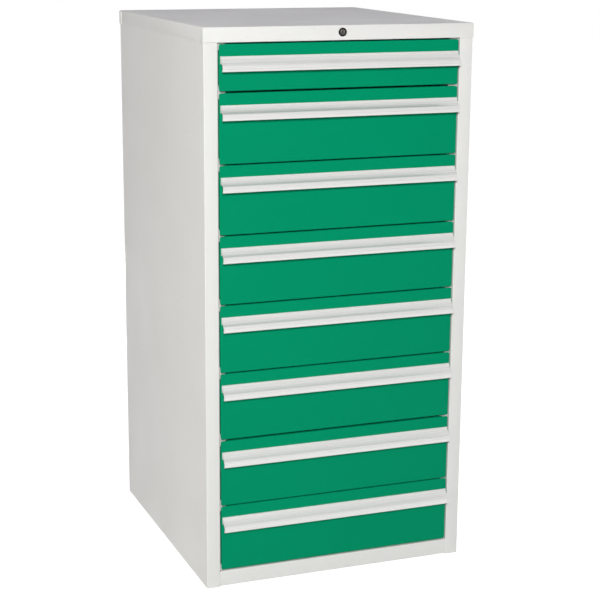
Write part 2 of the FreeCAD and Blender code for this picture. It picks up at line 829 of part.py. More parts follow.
def runner_screws():
    """All the screws of the fixed slide members, four for each drawer."""
    right = []
    for drawer in DRAWERS:
        right.append(slide_screw(f"screw_front_{drawer}", D["post_front_setback"], drawer))
        right.append(slide_screw(f"screw_rear_{drawer}", D["post_rear_setback"], drawer))
    right_side = group("runner_screws_right", right)
    node(group("runner_screws", [right_side, mirrored("runner_screws_left", right_side)]))


# Drawers

def drawer_tray(drawer):
    """Folded steel tray with a hemmed rim and the lock's catch on its right wall."""
    body = new_body(f"tray_{drawer}")
    level = front_bottom(drawer)
    wall = front_height(drawer) - D["tray_lift"] - D["tray_drop"]
    near = D["gauge"]
    far = near + D["tray_length"]
    sheet = D["tray_gauge"]
    plan = new_sketch(body, "XY_Plane", D["tray_lift"])
    rectangle(plan, -TRAY_HALF, near, TRAY_HALF, far)
    pad(body, plan, wall)
    corners = [
        ((ALONG_X, edge), (ALONG_Y, end)) for edge in (-TRAY_HALF, TRAY_HALF) for end in (near, far)
    ]
    round_edges(body, D["tray_corner"], along(ALONG_Z, *corners))
    inside = new_sketch(body, "XY_Plane", D["tray_lift"] + sheet)
    rectangle(inside, sheet - TRAY_HALF, near + sheet, TRAY_HALF - sheet, far - sheet)
    pocket(body, inside, wall - sheet * 2, upward=True)
    hem = D["tray_hem"]
    mouth = new_sketch(body, "XY_Plane", D["tray_lift"] + wall)
    rectangle(mouth, hem - TRAY_HALF, near + hem, TRAY_HALF - hem, far - hem)
    pocket(body, mouth, sheet)
    place(body, 0, FRONT_Y, level)
    catch = box(
        f"catch_{drawer}",
        (TRAY_HALF, FRONT_Y + D["catch_setback"], level + D["catch_bottom"]),
        (
            TRAY_HALF + D["catch_reach"],
            FRONT_Y + D["catch_setback"] + D["catch_gauge"],
            level + D["catch_bottom"] + D["catch_height"],
        ),
    )
    node(group(f"drawer_tray_{drawer}", [body, catch]))


def drawer_front(drawer):
    """Green front: a pan with rounded folds whose edge is cut out at the corners."""
    body = new_body(f"drawer_front_{drawer}")
    half = D["front_width"] / 2
    high = front_height(drawer)
    depth = D["front_depth"]
    face = new_sketch(body, "XZ_Plane")
    rectangle(face, -half, 0, half, high)
    pad(body, face, depth, backward=True)
    corners = [((ALONG_X, edge), (ALONG_Z, end)) for edge in (-half, half) for end in (0, high)]
    round_edges(body, D["front_corner"], along(ALONG_Y, *corners))
    round_edges(body, D["bend_radius"], in_plane(ALONG_Y, 0))
    wall = D["gauge"]
    hollow = new_sketch(body, "XZ_Plane", -depth)
    rectangle(hollow, wall - half, wall, half - wall, high - wall)
    pocket(body, hollow, depth - wall, upward=True)
    relief = new_sketch(body, "XZ_Plane", -depth)
    notch = D["front_relief"]
    for low_x, high_x in ((-half, notch - half), (half - notch, half)):
        for low_z, high_z in ((0, notch), (high - notch, high)):
            rectangle(relief, low_x, low_z, high_x, high_z)
    pocket(body, relief, depth - D["front_rim"], upward=True)
    return node(place(body, 0, FRONT_Y, front_bottom(drawer)))


def drawer_handle(drawer):
    """Full-width extruded pull: a flat leg, a shallow hollow that slopes out and a nose to grip from below."""
    body = new_body(f"drawer_handle_{drawer}")
    nose_y = D["handle_bulge"] - D["handle_reach"]
    nose_top = -D["handle_nose_drop"]
    nose_bottom = D["handle_bead"] - D["handle_height"]
    half_nose = (nose_top - nose_bottom) / 2
    crown = (half_nose * half_nose + D["handle_bulge"] * D["handle_bulge"]) / (D["handle_bulge"] * 2)
    inside_y = nose_y + D["handle_skin"]
    section = new_sketch(body, "YZ_Plane")
    outline(
        section,
        [
            (0, 0),
            (-D["handle_lip_reach"], 0),
            (-D["handle_lip_reach"], -D["handle_lip"]),
            (-D["handle_brow_reach"], -D["handle_brow_drop"]),
            (nose_y, nose_top),
            (nose_y, nose_bottom),
            (nose_y + D["handle_bead"], nose_bottom - D["handle_bead"]),
            (nose_y + D["handle_bead"] * 2, nose_bottom),
            (inside_y, nose_bottom + D["handle_bead"] * 2),
            (inside_y, nose_top),
            (-D["handle_inner_reach"], -D["handle_inner_drop"]),
            (-D["handle_skin"], -D["handle_root"]),
            (-D["handle_skin"], -D["handle_leg"]),
            (0, -D["handle_leg"]),
        ],
        {
            2: (D["handle_hollow"], False),
            3: (D["handle_brow_round"], True),
            4: (crown, True),
            5: (D["handle_bead"], True),
            6: (D["handle_bead"], True),
            9: (D["handle_brow_round"] - D["handle_skin"], False),
            10: (D["handle_hollow"] + D["handle_skin"], True),
        },
    )
    pad(body, section, D["front_width"] - D["handle_inset"] * 2, both=True)
    level = front_bottom(drawer) + front_height(drawer) - D["handle_drop"]
    return node(place(body, 0, FRONT_Y, level))


# Central lock

def lock_housing():
    """Lock body with its round rim, bored for the plug."""
    body = new_body("lock_housing")
    section = new_sketch(body, "XY_Plane")
    bore = D["plug_radius"] + D["plug_play"]
    outline(
        section,
        [
            (bore, -D["bezel_height"]),
            (D["bezel_radius"] - D["bezel_chamfer"], -D["bezel_height"]),
            (D["bezel_radius"], D["bezel_chamfer"] - D["bezel_height"]),
            (D["bezel_radius"], 0),
            (D["barrel_radius"], 0),
            (D["barrel_radius"], D["barrel_length"]),
            (bore, D["barrel_length"]),
        ],
    )
    turned = body.newObject("PartDesign::Revolution", "lock_housing_turned")
    turned.Profile = section
    turned.ReferenceAxis = (section, ["V_Axis"])
    turned.Angle = 360
    return node(place(body, 0, FRONT_Y, LOCK_Z))


def lock_nut():
    """Hexagonal nut that holds the lock body against the back of the fascia."""
    body = new_body("lock_nut")
    section = new_sketch(body, "XZ_Plane", -D["gauge"])
    reach = D["nut_flats"] / math.sqrt(3)
    points = [math.radians(60 * number) for number in range(6)]
    outline(section, [(reach * math.cos(angle), reach * math.sin(angle)) for angle in points])
    circle(section, 0, 0, D["barrel_radius"] + D["nut_play"])
    pad(body, section, D["nut_height"], backward=True)
    return node(place(body, 0, FRONT_Y, LOCK_Z))


def lock_plug():
    """Plug that turns with the key, with its keyway and the tail that carries the crank."""
    body = new_body("lock_plug")
    face = D["plug_recess"] - D["bezel_height"]
    section = new_sketch(body, "XY_Plane")
    outline(
        section,
        [
            (0, face),
            (D["plug_radius"], face),
            (D["plug_radius"], D["plug_length"]),
            (D["tail_radius"], D["plug_length"]),
            (D["tail_radius"], D["plug_length"] + D["tail_length"]),
            (0, D["plug_length"] + D["tail_length"]),
        ],
    )
    turned = body.newObject("PartDesign::Revolution", "lock_plug_turned")
    turned.Profile = section
    turned.ReferenceAxis = (section, ["V_Axis"])
    turned.Angle = 360
    keyway = new_sketch(body, "XZ_Plane", -face)
    wide = D["key_width"] / 2
    high = D["key_height"] / 2
    rectangle(keyway, -wide, -high, wide, high)
    pocket(body, keyway, D["key_depth"])
    return node(place(body, 0, FRONT_Y, LOCK_Z))


def lock_cam():
    """Crank on the plug's tail. At rest its pin is low on the left, and a quarter turn carries it right."""
    body = new_body("lock_cam")
    plate = new_sketch(body, "XZ_Plane", -D["plug_length"])
    eye = D["pin_radius"] * 2
    hub = D["cam_hub"]
    slant = math.sin(math.radians(45))
    centre = -PIN_THROW
    outline(
        plate,
        [
            (hub * slant, -hub * slant),
            (hub * slant, hub * slant),
            (-hub * slant, hub * slant),
            (centre - eye * slant, centre + eye * slant),
            (centre - eye * slant, centre - eye * slant),
            (centre + eye * slant, centre - eye * slant),
        ],
        {0: (hub, True), 1: (hub, True), 3: (eye, True), 4: (eye, True)},
    )
    circle(plate, 0, 0, D["tail_radius"] + D["plug_play"])
    pad(body, plate, D["cam_gauge"], backward=True)
    pin = new_sketch(body, "XZ_Plane", -D["plug_length"] - D["cam_gauge"])
    circle(pin, centre, centre, D["pin_radius"])
    reach = D["link_setback"] + D["link_gauge"] - D["plug_length"] - D["cam_gauge"]
    pad(body, pin, reach + D["gauge"], backward=True)
    return node(place(body, 0, FRONT_Y, LOCK_Z))


def lock_link():
    """Flat bar behind the fascia: the crank drives its upright slot, and its slanted slot lifts the bar."""
    body = new_body("lock_link")
    low = D["link_bottom"]
    clear = D["pin_radius"] + D["pin_play"]
    head_left = D["bar_centre"] - LOCK_TRAVEL - clear * 2
    head_right = D["bar_centre"] + clear * 3
    plate = new_sketch(body, "XZ_Plane", -D["link_setback"])
    outline(
        plate,
        [
            (-D["link_tail"], low),
            (head_right, low),
            (head_right, low + D["link_head_height"]),
            (head_left, low + D["link_head_height"]),
            (head_left, low + D["link_height"]),
            (-D["link_tail"], low + D["link_height"]),
        ],
    )
    pad(body, plate, D["link_gauge"], backward=True)
    slots = new_sketch(body, "XZ_Plane", -D["link_setback"])
    lowest = LOCK_Z - D["cam_radius"]
    highest = LOCK_Z - PIN_THROW
    rectangle(slots, -PIN_THROW - clear, lowest - clear, clear - PIN_THROW, highest + clear)
    start_x = D["bar_centre"]
    start_z = D["bar_pin_height"]
    end_x = start_x - LOCK_TRAVEL
    end_z = start_z + LOCK_TRAVEL
    far = clear * math.sqrt(2)
    outline(
        slots,
        [
            (start_x, start_z - far),
            (start_x + far, start_z),
            (end_x, end_z + far),
            (end_x - far, end_z),
        ],
    )
    pocket(body, slots, D["link_gauge"])
    return node(place(body))


def lock_bar():
    """Upright bar inside the right front post, its driving pin and one hook for each drawer."""
    low_x = D["bar_centre"] - D["bar_width"] / 2
    near = FRONT_Y + D["bar_setback"]
    far = near + D["bar_gauge"]
    top = D["bar_pin_height"] + D["bar_width"]
    bar = box(
        "lock_bar_flat", (low_x, near, D["bar_bottom"]), (low_x + D["bar_width"], far, top)
    )
    reach = D["bar_setback"] - D["link_setback"] + D["pin_play"]
    pin = cylinder(
        "lock_bar_pin",
        D["pin_radius"],
        reach,
        D["bar_centre"],
        near - reach,
        D["bar_pin_height"],
        FreeCAD.Vector(0, 1, 0),
    )
    members = [bar, pin]
    for drawer in DRAWERS:
        low = front_bottom(drawer) + D["hook_bottom"]
        members.append(
            box(
                f"hook_{drawer}",
                (D["hook_tip"], near, low),
                (low_x, far, low + D["hook_height"]),
            )
        )
    node(group("lock_bar", members))


def guide(name, low, high, way_low, way_high):
    """A block with a way through it that a part of the lock slides in."""
    block = box(f"{name}_block", low, high)
    way = box(f"{name}_way", way_low, way_high)
    cut = DOC.addObject("Part::Cut", name)
    cut.Base = block
    cut.Tool = way
    return cut


def lock_guides():
    """Blocks in the right front post for the lock bar, and blocks under the roof for the link."""
    face = D["post_face"] + D["post_gauge"]
    play = D["guide_play"]
    wall = D["guide_wall"]
    near = FRONT_Y + D["bar_setback"]
    far = near + D["bar_gauge"]
    half = D["bar_width"] / 2 + play
    guides = []
    for drawer in GUIDED_DRAWERS:
        low = front_bottom(drawer) + D["guide_rise"]
        high = low + D["guide_height"]
        guides.append(
            guide(
                f"bar_guide_{drawer}",
                (face, near - wall, low),
                (face + D["guide_width"], far + wall, high),
                (D["bar_centre"] - half, near - play, low - play),
                (D["bar_centre"] + half, far + play, high + play),
            )
        )
    near = FRONT_Y + D["link_setback"]
    far = near + D["link_gauge"]
    low = D["link_bottom"]
    roof = D["cab_height"] - D["gauge"]
    for number in range(2):
        start = D["link_guide_first"] + D["link_guide_pitch"] * number
        end = start + D["guide_height"]
        guides.append(
            guide(
                f"link_guide_{number}",
                (start, near - wall, low - wall),
                (end, far + wall, roof),
                (start - play, near - play, low - play),
                (end + play, far + play, low + D["link_height"] + play),
            )
        )
    node(group("lock_guides", guides))


def check_features():
    """Stops if any object failed, a cut removed nothing or a sub-part's shape isn't sound."""
    failed = [
        thing.Label
        for thing in DOC.Objects
        if "Invalid" in thing.State or "Error" in thing.State
    ]
    if failed:
        raise RuntimeError(f"objects that failed: {failed}")
    for thing in DOC.Objects:
        if thing.TypeId == "PartDesign::Pocket":
            removed = thing.BaseFeature.Shape.Volume - thing.Shape.Volume
            if removed < TOUCH:
                raise RuntimeError(f"{thing.Label} cuts nothing")
    for thing in NODES:
        if thing.Shape.isNull() or not thing.Shape.isValid() or not thing.Shape.Solids:
            raise RuntimeError(f"{thing.Label} isn't a sound solid")


def write_nodes():
    """Writes each sub-part to its own file and prints what it holds."""
    os.makedirs("parts", exist_ok=True)
    whole = FreeCAD.BoundBox()
    for thing in NODES:
        whole.add(thing.Shape.BoundBox)
        thing.Shape.exportStep(f"parts/{thing.Label}.step")
    print(f"{len(NODES)} sub-parts, {sum(len(thing.Shape.Solids) for thing in NODES)} solids")
    print(f"x {whole.XMin:.2f} {whole.XMax:.2f}")
    print(f"y {whole.YMin:.2f} {whole.YMax:.2f}")
    print(f"z {whole.ZMin:.2f} {whole.ZMax:.2f}")


def build():
    """Builds the cabinet, checks it and writes its files."""
    node(mirrored("side_panel_right", side_panel()))
    top_cap()
    back_panel()
    base_panel()
    plinth_rail()
    runner_posts()
    cabinet_runners()
    runner_screws()
    for drawer in DRAWERS:
        drawer_tray(drawer)
        drawer_front(drawer)
        drawer_handle(drawer)
        drawer_runner(drawer)
        slide_middle(drawer)
    lock_housing()
    lock_nut()
    lock_plug()
    lock_cam()
    lock_link()
    lock_bar()
    lock_guides()
    DOC.recompute()
    check_features()
    write_nodes()


build()
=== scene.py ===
import json
import logging
import math
from collections.abc import Sequence
from dataclasses import dataclass
from enum import Enum

import bmesh
import bpy
from mathutils import Matrix, Vector


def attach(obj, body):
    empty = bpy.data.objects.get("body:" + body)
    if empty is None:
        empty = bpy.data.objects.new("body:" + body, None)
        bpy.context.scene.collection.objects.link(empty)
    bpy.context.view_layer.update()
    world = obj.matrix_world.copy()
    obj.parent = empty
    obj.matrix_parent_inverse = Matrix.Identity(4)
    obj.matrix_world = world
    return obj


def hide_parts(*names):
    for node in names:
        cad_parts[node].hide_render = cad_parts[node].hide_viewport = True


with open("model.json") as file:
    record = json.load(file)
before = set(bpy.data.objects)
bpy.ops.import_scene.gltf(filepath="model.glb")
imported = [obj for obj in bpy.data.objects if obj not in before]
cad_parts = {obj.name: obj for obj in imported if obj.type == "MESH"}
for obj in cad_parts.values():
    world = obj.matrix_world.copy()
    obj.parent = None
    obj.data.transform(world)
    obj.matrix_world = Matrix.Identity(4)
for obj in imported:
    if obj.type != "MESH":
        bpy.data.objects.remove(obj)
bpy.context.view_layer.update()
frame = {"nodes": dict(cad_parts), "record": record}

# A tall steel cabinet with eight green drawers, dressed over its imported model.
# Its classes hold millimetres in its own frame: +X right, +Y back, +Z up. The studio's hold metres.

log = logging.getLogger("cabinet")

MM = 0.001
SHARP = math.radians(35.0)
Point = tuple[float, float]
Outline = Sequence[Point]
Profile = tuple[Point, ...]
Place = tuple[float, float, float]
Colour = tuple[float, float, float]
Socket = bpy.types.NodeSocket
Solid = bpy.types.Object

# The part of a noise's range that is spread over a tone, from gradual to abrupt, and a noise's octaves.
GRADUAL = (0.3, 0.7)
MEDIUM = (0.35, 0.65)
ABRUPT = (0.4, 0.6)
FULL = (0.0, 1.0)
COARSE = 1.0
FINE = 3.0
WHITE = (1.0, 1.0, 1.0)


class Axis(Enum):
    """The direction that a profile is drawn along."""

    X = 0
    Y = 1
    Z = 2


class Side(Enum):
    """A side of the cabinet, as seen by someone who faces the drawers."""

    LEFT = -1
    RIGHT = 1


# Finishes


class NodeTree:
    """A thin hand on the node tree of a material or of the world."""

    def __init__(self, owner: bpy.types.Material | bpy.types.World) -> None:
        """Turns the owner's nodes on.

        Args:
            owner: What the nodes belong to.
        """
        self.owner = owner
        owner.use_nodes = True
        self.nodes = owner.node_tree.nodes
        self.links = owner.node_tree.links

    @property
    def shader(self) -> bpy.types.Node:
        """The material's main shader."""
        return self.nodes["Principled BSDF"]

    def add(self, kind: str, inputs: dict[str, object] | None = None, **settings: object) -> bpy.types.Node:
        """Adds a node.

        Args:
            kind: The node's type.
            inputs: Values of its sockets, by name.
            settings: Its own properties.

        Returns:
            The new node.
        """
        node = self.nodes.new(kind)
        for name, value in settings.items():
            setattr(node, name, value)
        for name, value in (inputs or {}).items():
            node.inputs[name].default_value = value
        return node

    def join(self, start: Socket, end: Socket) -> None:
        """Links one socket to another."""
        self.links.new(start, end)

    def noise(self, waves: Place, detail: float = 2.0) -> Socket:
        """Noise in object coordinates.

        Args:
            waves: Waves to a metre along X, Y and Z.
            detail: Octaves.

        Returns:
            The noise, about 0.5.
        """
        where = self.add("ShaderNodeTexCoord")
        mapping = self.add("ShaderNodeMapping", {"Scale": waves})
        node = self.add("ShaderNodeTexNoise", {"Scale": 1.0, "Detail": detail})
        self.join(where.outputs["Object"], mapping.inputs["Vector"])
        self.join(mapping.outputs["Vector"], node.inputs["Vector"])
        return node.outputs["Fac"]

    def spread(self, value: Socket, band: Point, reach: Point = FULL) -> Socket:
        """Maps a value from one range to another, and holds it there.

        Args:
            value: What to map.
            band: Start and end of its range.
            reach: What they become.

        Returns:
            The mapped value.
        """
        ends = {"From Min": band[0], "From Max": band[1], "To Min": reach[0], "To Max": reach[1]}
        node = self.add("ShaderNodeMapRange", ends)
        self.join(value, node.inputs["Value"])
        return node.outputs["Result"]

    def blend(self, factor: Socket, under: Socket | Colour, over: Colour) -> Socket:
        """Lays one colour over another.

        Args:
            factor: How much of the upper colour shows.
            under: The lower colour, or a socket that gives it.
            over: The upper colour.

        Returns:
            The mixed colour.
        """
        node = self.add("ShaderNodeMix", data_type="RGBA")
        self.join(factor, node.inputs["Factor"])
        colours = [socket for socket in node.inputs if socket.type == "RGBA"]
        if isinstance(under, tuple):
            colours[0].default_value = (*under, 1.0)
        else:
            self.join(under, colours[0])
        colours[1].default_value = (*over, 1.0)
        return next(socket for socket in node.outputs if socket.type == "RGBA")

    def seen(self) -> Socket:
        """Tells the rays that show a thing from the rays that it lights.

        Returns:
            1 for the camera's rays and for what metal and glass show, and 0 for light on the cabinet.
        """
        path = self.add("ShaderNodeLightPath")
        share = path.outputs["Is Camera Ray"]
        for ray in ("Is Glossy Ray", "Is Transmission Ray"):
            larger = self.add("ShaderNodeMath", operation="MAXIMUM")
            self.join(share, larger.inputs[0])
            self.join(path.outputs[ray], larger.inputs[1])
            share = larger.outputs[0]
        return share

    def surface(self, colour: Socket, grain: Socket, roughness: Point, metal: float = 0.0) -> None:
        """Sets what the surface is like.

        Args:
            colour: Its colour.
            grain: The noise that its roughness follows.
            roughness: Its lowest and its highest roughness.
            metal: 1 for bare metal, 0 for paint.
        """
        self.join(colour, self.shader.inputs["Base Color"])
        self.join(self.spread(grain, GRADUAL, roughness), self.shader.inputs["Roughness"])
        self.shader.inputs["Metallic"].default_value = metal

    def relief(self, height: Socket, depth_mm: float, strength: float) -> None:
        """Gives the surface a fine relief.

        Args:
            height: The relief's height from 0 to 1.
            depth_mm: The height that 1 stands for.
            strength: How strongly it shows.
        """
        bump = self.add("ShaderNodeBump", {"Strength": strength, "Distance": depth_mm * MM})
        self.join(height, bump.inputs["Height"])
        self.join(bump.outputs["Normal"], self.shader.inputs["Normal"])


def toned(colour: Colour, share: float) -> Colour:
    """A colour with each of its parts multiplied by a share."""
    return tuple(part * share for part in colour)


@dataclass(frozen=True)
class PowderCoat:
    """Baked powder paint on sheet steel: a fine orange peel, faint clouds and a few specks."""

    name: str
    colour: Colour
    shade: Colour
    roughness: Point = (0.37, 0.48)
    gloss: float = 0.2
    specks: float = 0.0
    cloud_waves: Place = (3.0, 3.0, 2.2)
    cloud_share: float = 0.55
    speck_waves: Place = (90.0, 60.0, 110.0)
    speck_band: Point = (0.68, 0.75)
    speck_tone: float = 0.7
    sheen_waves: Place = (9.0, 9.0, 9.0)
    peel_waves: Place = (900.0, 900.0, 900.0)
    peel_depth: float = 0.03
    peel_strength: float = 0.25

    def make(self) -> bpy.types.Material:
        """Makes the paint.

        Returns:
            The material.
        """
        tree = NodeTree(bpy.data.materials.new(self.name))
        clouds = tree.spread(tree.noise(self.cloud_waves, FINE), GRADUAL, (0.0, self.cloud_share))
        colour = tree.blend(clouds, self.colour, self.shade)
        if self.specks:
            marks = tree.spread(tree.noise(self.speck_waves), self.speck_band, (0.0, self.specks))
            colour = tree.blend(marks, colour, toned(self.shade, self.speck_tone))
        tree.surface(colour, tree.noise(self.sheen_waves, FINE), self.roughness)
        tree.shader.inputs["Specular IOR Level"].default_value = self.gloss
        tree.relief(tree.noise(self.peel_waves, COARSE), self.peel_depth, self.peel_strength)
        return tree.owner


@dataclass(frozen=True)
class SatinExtrusion:
    """Anodised extrusion with draw lines along its length."""

    name: str
    colour: Colour
    roughness: Point = (0.25, 0.35)
    metal: float = 0.42
    line_waves: Place = (2.0, 1600.0, 1600.0)
    streak_waves: Place = (0.8, 380.0, 380.0)
    streak_tone: float = 0.97
    depth: float = 0.01
    strength: float = 0.004

    def make(self) -> bpy.types.Material:
        """Makes the anodised surface.

        Returns:
            The material.
        """
        tree = NodeTree(bpy.data.materials.new(self.name))
        streaks = tree.noise(self.streak_waves, COARSE)
        colour = tree.blend(tree.spread(streaks, ABRUPT), self.colour, toned(self.colour, self.streak_tone))
        tree.surface(colour, tree.noise(self.line_waves), self.roughness, self.metal)
        tree.relief(streaks, self.depth, self.strength)
        return tree.owner


@dataclass(frozen=True)
class Grained:
    """A surface whose tone, sheen and relief follow one grain."""

    name: str
    colour: Colour
    tint: Colour
    roughness: Point = (0.25, 0.4)
    grain: float = 260.0
    detail: float = FINE
    band: Point = MEDIUM
    share: float = 0.8
    metal: float = 1.0
    depth: float = 0.01
    strength: float = 0.1

    def make(self) -> bpy.types.Material:
        """Makes the surface.

        Returns:
            The material.
        """
        tree = NodeTree(bpy.data.materials.new(self.name))
        grain = tree.noise((self.grain, self.grain, self.grain), self.detail)
        colour = tree.blend(tree.spread(grain, self.band, (0.0, self.share)), self.colour, self.tint)
        tree.surface(colour, grain, self.roughness, self.metal)
        tree.relief(grain, self.depth, self.strength)
        return tree.owner


@dataclass(frozen=True)
class PlatedSteel(Grained):
    """Zinc or nickel plate over steel, with a faint crystal mottle."""


@dataclass(frozen=True)
class MouldedNylon(Grained):
    """Black moulded nylon with a fine spark-eroded grain."""

    roughness: Point = (0.45, 0.6)
    grain: float = 1400.0
    detail: float = 2.0
    band: Point = ABRUPT
    share: float = 0.5
    metal: float = 0.0
    depth: float = 0.02
    strength: float = 0.3


class Finish(Enum):
    """Every finish on the cabinet, by the record's material slot."""

    CARCASS = "carcass_paint"
    FRONT = "front_paint"
    PULL = "pull"
    TRAY = "tray_paint"
    POST = "post_paint"
    SLIDE = "slide_steel"
    SCREW = "screw_steel"
    LOCK_CASE = "lock_case"
    LOCK_FACE = "lock_face"
    LOCK_STEEL = "lock_steel"
    GUIDE = "guide_plastic"


# The lock's nickel: its lowest and its highest roughness, and its fine grain in waves to a metre.
LOCK_SHEEN = (0.13, 0.28)
LOCK_GRAIN = 900.0
RECIPES = {
    Finish.CARCASS: PowderCoat(
        "carcass_powder_coat", (0.83, 0.825, 0.805), (0.815, 0.808, 0.786), specks=0.3
    ),
    Finish.FRONT: PowderCoat(
        "front_powder_coat", (0.0, 0.292, 0.14), (0.0, 0.280, 0.13), (0.29, 0.4), gloss=0.04
    ),
    Finish.PULL: SatinExtrusion("pull_anodised", (0.73, 0.725, 0.71)),
    Finish.TRAY: PowderCoat("tray_powder_coat", (0.70, 0.695, 0.68), (0.67, 0.665, 0.65)),
    Finish.POST: PowderCoat("post_powder_coat", (0.74, 0.73, 0.71), (0.71, 0.70, 0.68)),
    Finish.SLIDE: PlatedSteel("slide_zinc", (0.52, 0.53, 0.55), (0.44, 0.455, 0.48)),
    Finish.SCREW: PlatedSteel("screw_zinc", (0.50, 0.49, 0.44), (0.42, 0.41, 0.37), (0.21, 0.36)),
    Finish.LOCK_CASE: PlatedSteel(
        "lock_dark_nickel", (0.018, 0.018, 0.02), (0.012, 0.012, 0.013), LOCK_SHEEN, LOCK_GRAIN
    ),
    # The plug's nickel has a dark colour that paints in a dark reflection; bright nickel would mirror the
    # white room here.
    Finish.LOCK_FACE: PlatedSteel(
        "lock_nickel_painted_dark_reflection", (0.16, 0.15, 0.135), (0.12, 0.11, 0.1), LOCK_SHEEN, LOCK_GRAIN
    ),
    Finish.LOCK_STEEL: PlatedSteel("lock_zinc", (0.52, 0.50, 0.45), (0.45, 0.445, 0.42), (0.23, 0.38)),
    Finish.GUIDE: MouldedNylon("guide_nylon", (0.02, 0.02, 0.022), (0.036, 0.036, 0.0396)),
}


class Paintshop:
    """Makes each finish once and paints with it."""

    def __init__(self) -> None:
        """Starts with no finishes made."""
        self.made: dict[Finish, bpy.types.Material] = {}

    def paint(self, mesh: bpy.types.Mesh, finish: Finish) -> None:
        """Puts a finish on a whole mesh.

        Args:
            mesh: What is painted.
            finish: The finish.
        """
        if finish not in self.made:
            self.made[finish] = RECIPES[finish].make()
        mesh.materials.clear()
        mesh.materials.append(self.made[finish])


# Making

# How far a cutter passes what it cuts, and how far a drill reaches to each side.
CLEAR = 1.0
DRILL = 5.0
# Facets round a screw or a rivet, and the tightest corner of a pan.
FACETS = 24
TIGHTEST = 0.25


@dataclass(frozen=True)
class Round:
    """A rounded corner or fold."""

    radius: float
    steps: int = 6


def arc(centre: Point, radius: float, start: float, end: float, steps: int) -> list[Point]:
    """The points of an arc from one angle to another, in degrees, both ends included."""
    angles = [math.radians(start + (end - start) * step / steps) for step in range(steps + 1)]
    return [(centre[0] + radius * math.cos(a), centre[1] + radius * math.sin(a)) for a in angles]


def bow(start: Point, end: Point, radius: float, steps: int) -> list[Point]:
    """Points on the short arc between two points.

    Args:
        start: First point.
        end: Last point.
        radius: The arc's radius, negative where it turns right.
        steps: Number of segments.

    Returns:
        The points, ends included.
    """
    chord = Vector(end) - Vector(start)
    rise = math.sqrt(radius * radius - chord.length_squared / 4.0)
    aside = Vector((-chord.y, chord.x)).normalized() * math.copysign(rise, radius)
    centre = (Vector(start) + Vector(end)) / 2.0 + aside
    arm = Vector(start) - centre
    swing = math.copysign(2.0 * math.asin(chord.length / 2.0 / abs(radius)), radius)
    turns = (Matrix.Rotation(swing * step / steps, 2) for step in range(steps + 1))
    return [tuple(centre + turn @ arm) for turn in turns]


def rounded(corners: Outline, radii: Sequence[float], steps: int = 6) -> list[Point]:
    """An outline with rounded corners.

    Args:
        corners: The outline's sharp corners.
        radii: The radius at each corner, 0 where it stays sharp.
        steps: How many chords each round has.

    Returns:
        The rounded outline.
    """
    found: list[Point] = []
    for number, (corner, radius) in enumerate(zip(corners, radii, strict=True)):
        here = Vector(corner)
        back = (Vector(corners[number - 1]) - here).normalized()
        ahead = (Vector(corners[(number + 1) % len(corners)]) - here).normalized()
        if radius <= 0.0:
            found.append(corner)
            continue
        half = math.acos(max(-1.0, min(1.0, back.dot(ahead)))) / 2.0
        middle = here + (back + ahead).normalized() * (radius / math.sin(half))
        first = here + back * (radius / math.tan(half)) - middle
        last = here + ahead * (radius / math.tan(half)) - middle
        turn = math.atan2(first.cross(last), first.dot(last))
        for step in range(steps + 1):
            spoke = Matrix.Rotation(turn * step / steps, 2) @ first
            found.append((middle.x + spoke.x, middle.y + spoke.y))
    return found


def on_axis(axis: Axis, flat: Point, along: float) -> Vector:
    """The point of a profile that is drawn along an axis, in millimetres in the cabinet's frame."""
    return Vector((*flat[: axis.value], along, *flat[axis.value :]))


def swung(spot: Point, centre: Place, axis: Axis, turn: float) -> Vector:
    """A point of a turned form, from its radius and place along the axis and its angle in radians."""
    radius, along = spot
    return Vector(centre) + on_axis(axis, (radius * math.cos(turn), radius * math.sin(turn)), along)


def folded(face: float, rise: float, fold: Round, sheet: float, mouth: Outline) -> list[Point]:
    """The rings of a folded pan of sheet: its outside from the face, its mouth, and its inside.

    Args:
        face: Where its face lies.
        rise: 1.0 where the face is at its high end, -1.0 at its low end.
        fold: The fold's outside.
        sheet: The sheet's thickness.
        mouth: The rings at its open side.

    Returns:
        Each ring's inset and its place along the pan's depth.
    """
    centre = face - rise * fold.radius
    outside = arc((0.0, 0.0), fold.radius, 90.0, 0.0, fold.steps)
    inside = arc((0.0, 0.0), fold.radius - sheet, 0.0, 90.0, steps=4)
    rows = [[(fold.radius - x, centre + rise * y) for x, y in bend] for bend in (outside, inside)]
    return [*rows[0], *mouth, *rows[1]]


def bore(radius: float, reach: float = DRILL) -> list[Point]:
    """The profile of a drill that reaches as far to either side of its middle."""
    return [(radius, -reach), (radius, reach)]


def across(side: Side, near: float, far: float) -> list[float]:
    """Two distances from the cabinet's middle as places on one of its sides, in rising order."""
    return sorted((near * side.value, far * side.value))


def hang(name: str, data: bpy.types.ID) -> Solid:
    """Puts a new object with its data into the scene.

    Args:
        name: The object's name.
        data: Its mesh, lamp or camera.

    Returns:
        The object.
    """
    thing = bpy.data.objects.new(name, data)
    bpy.context.scene.collection.objects.link(thing)
    return thing


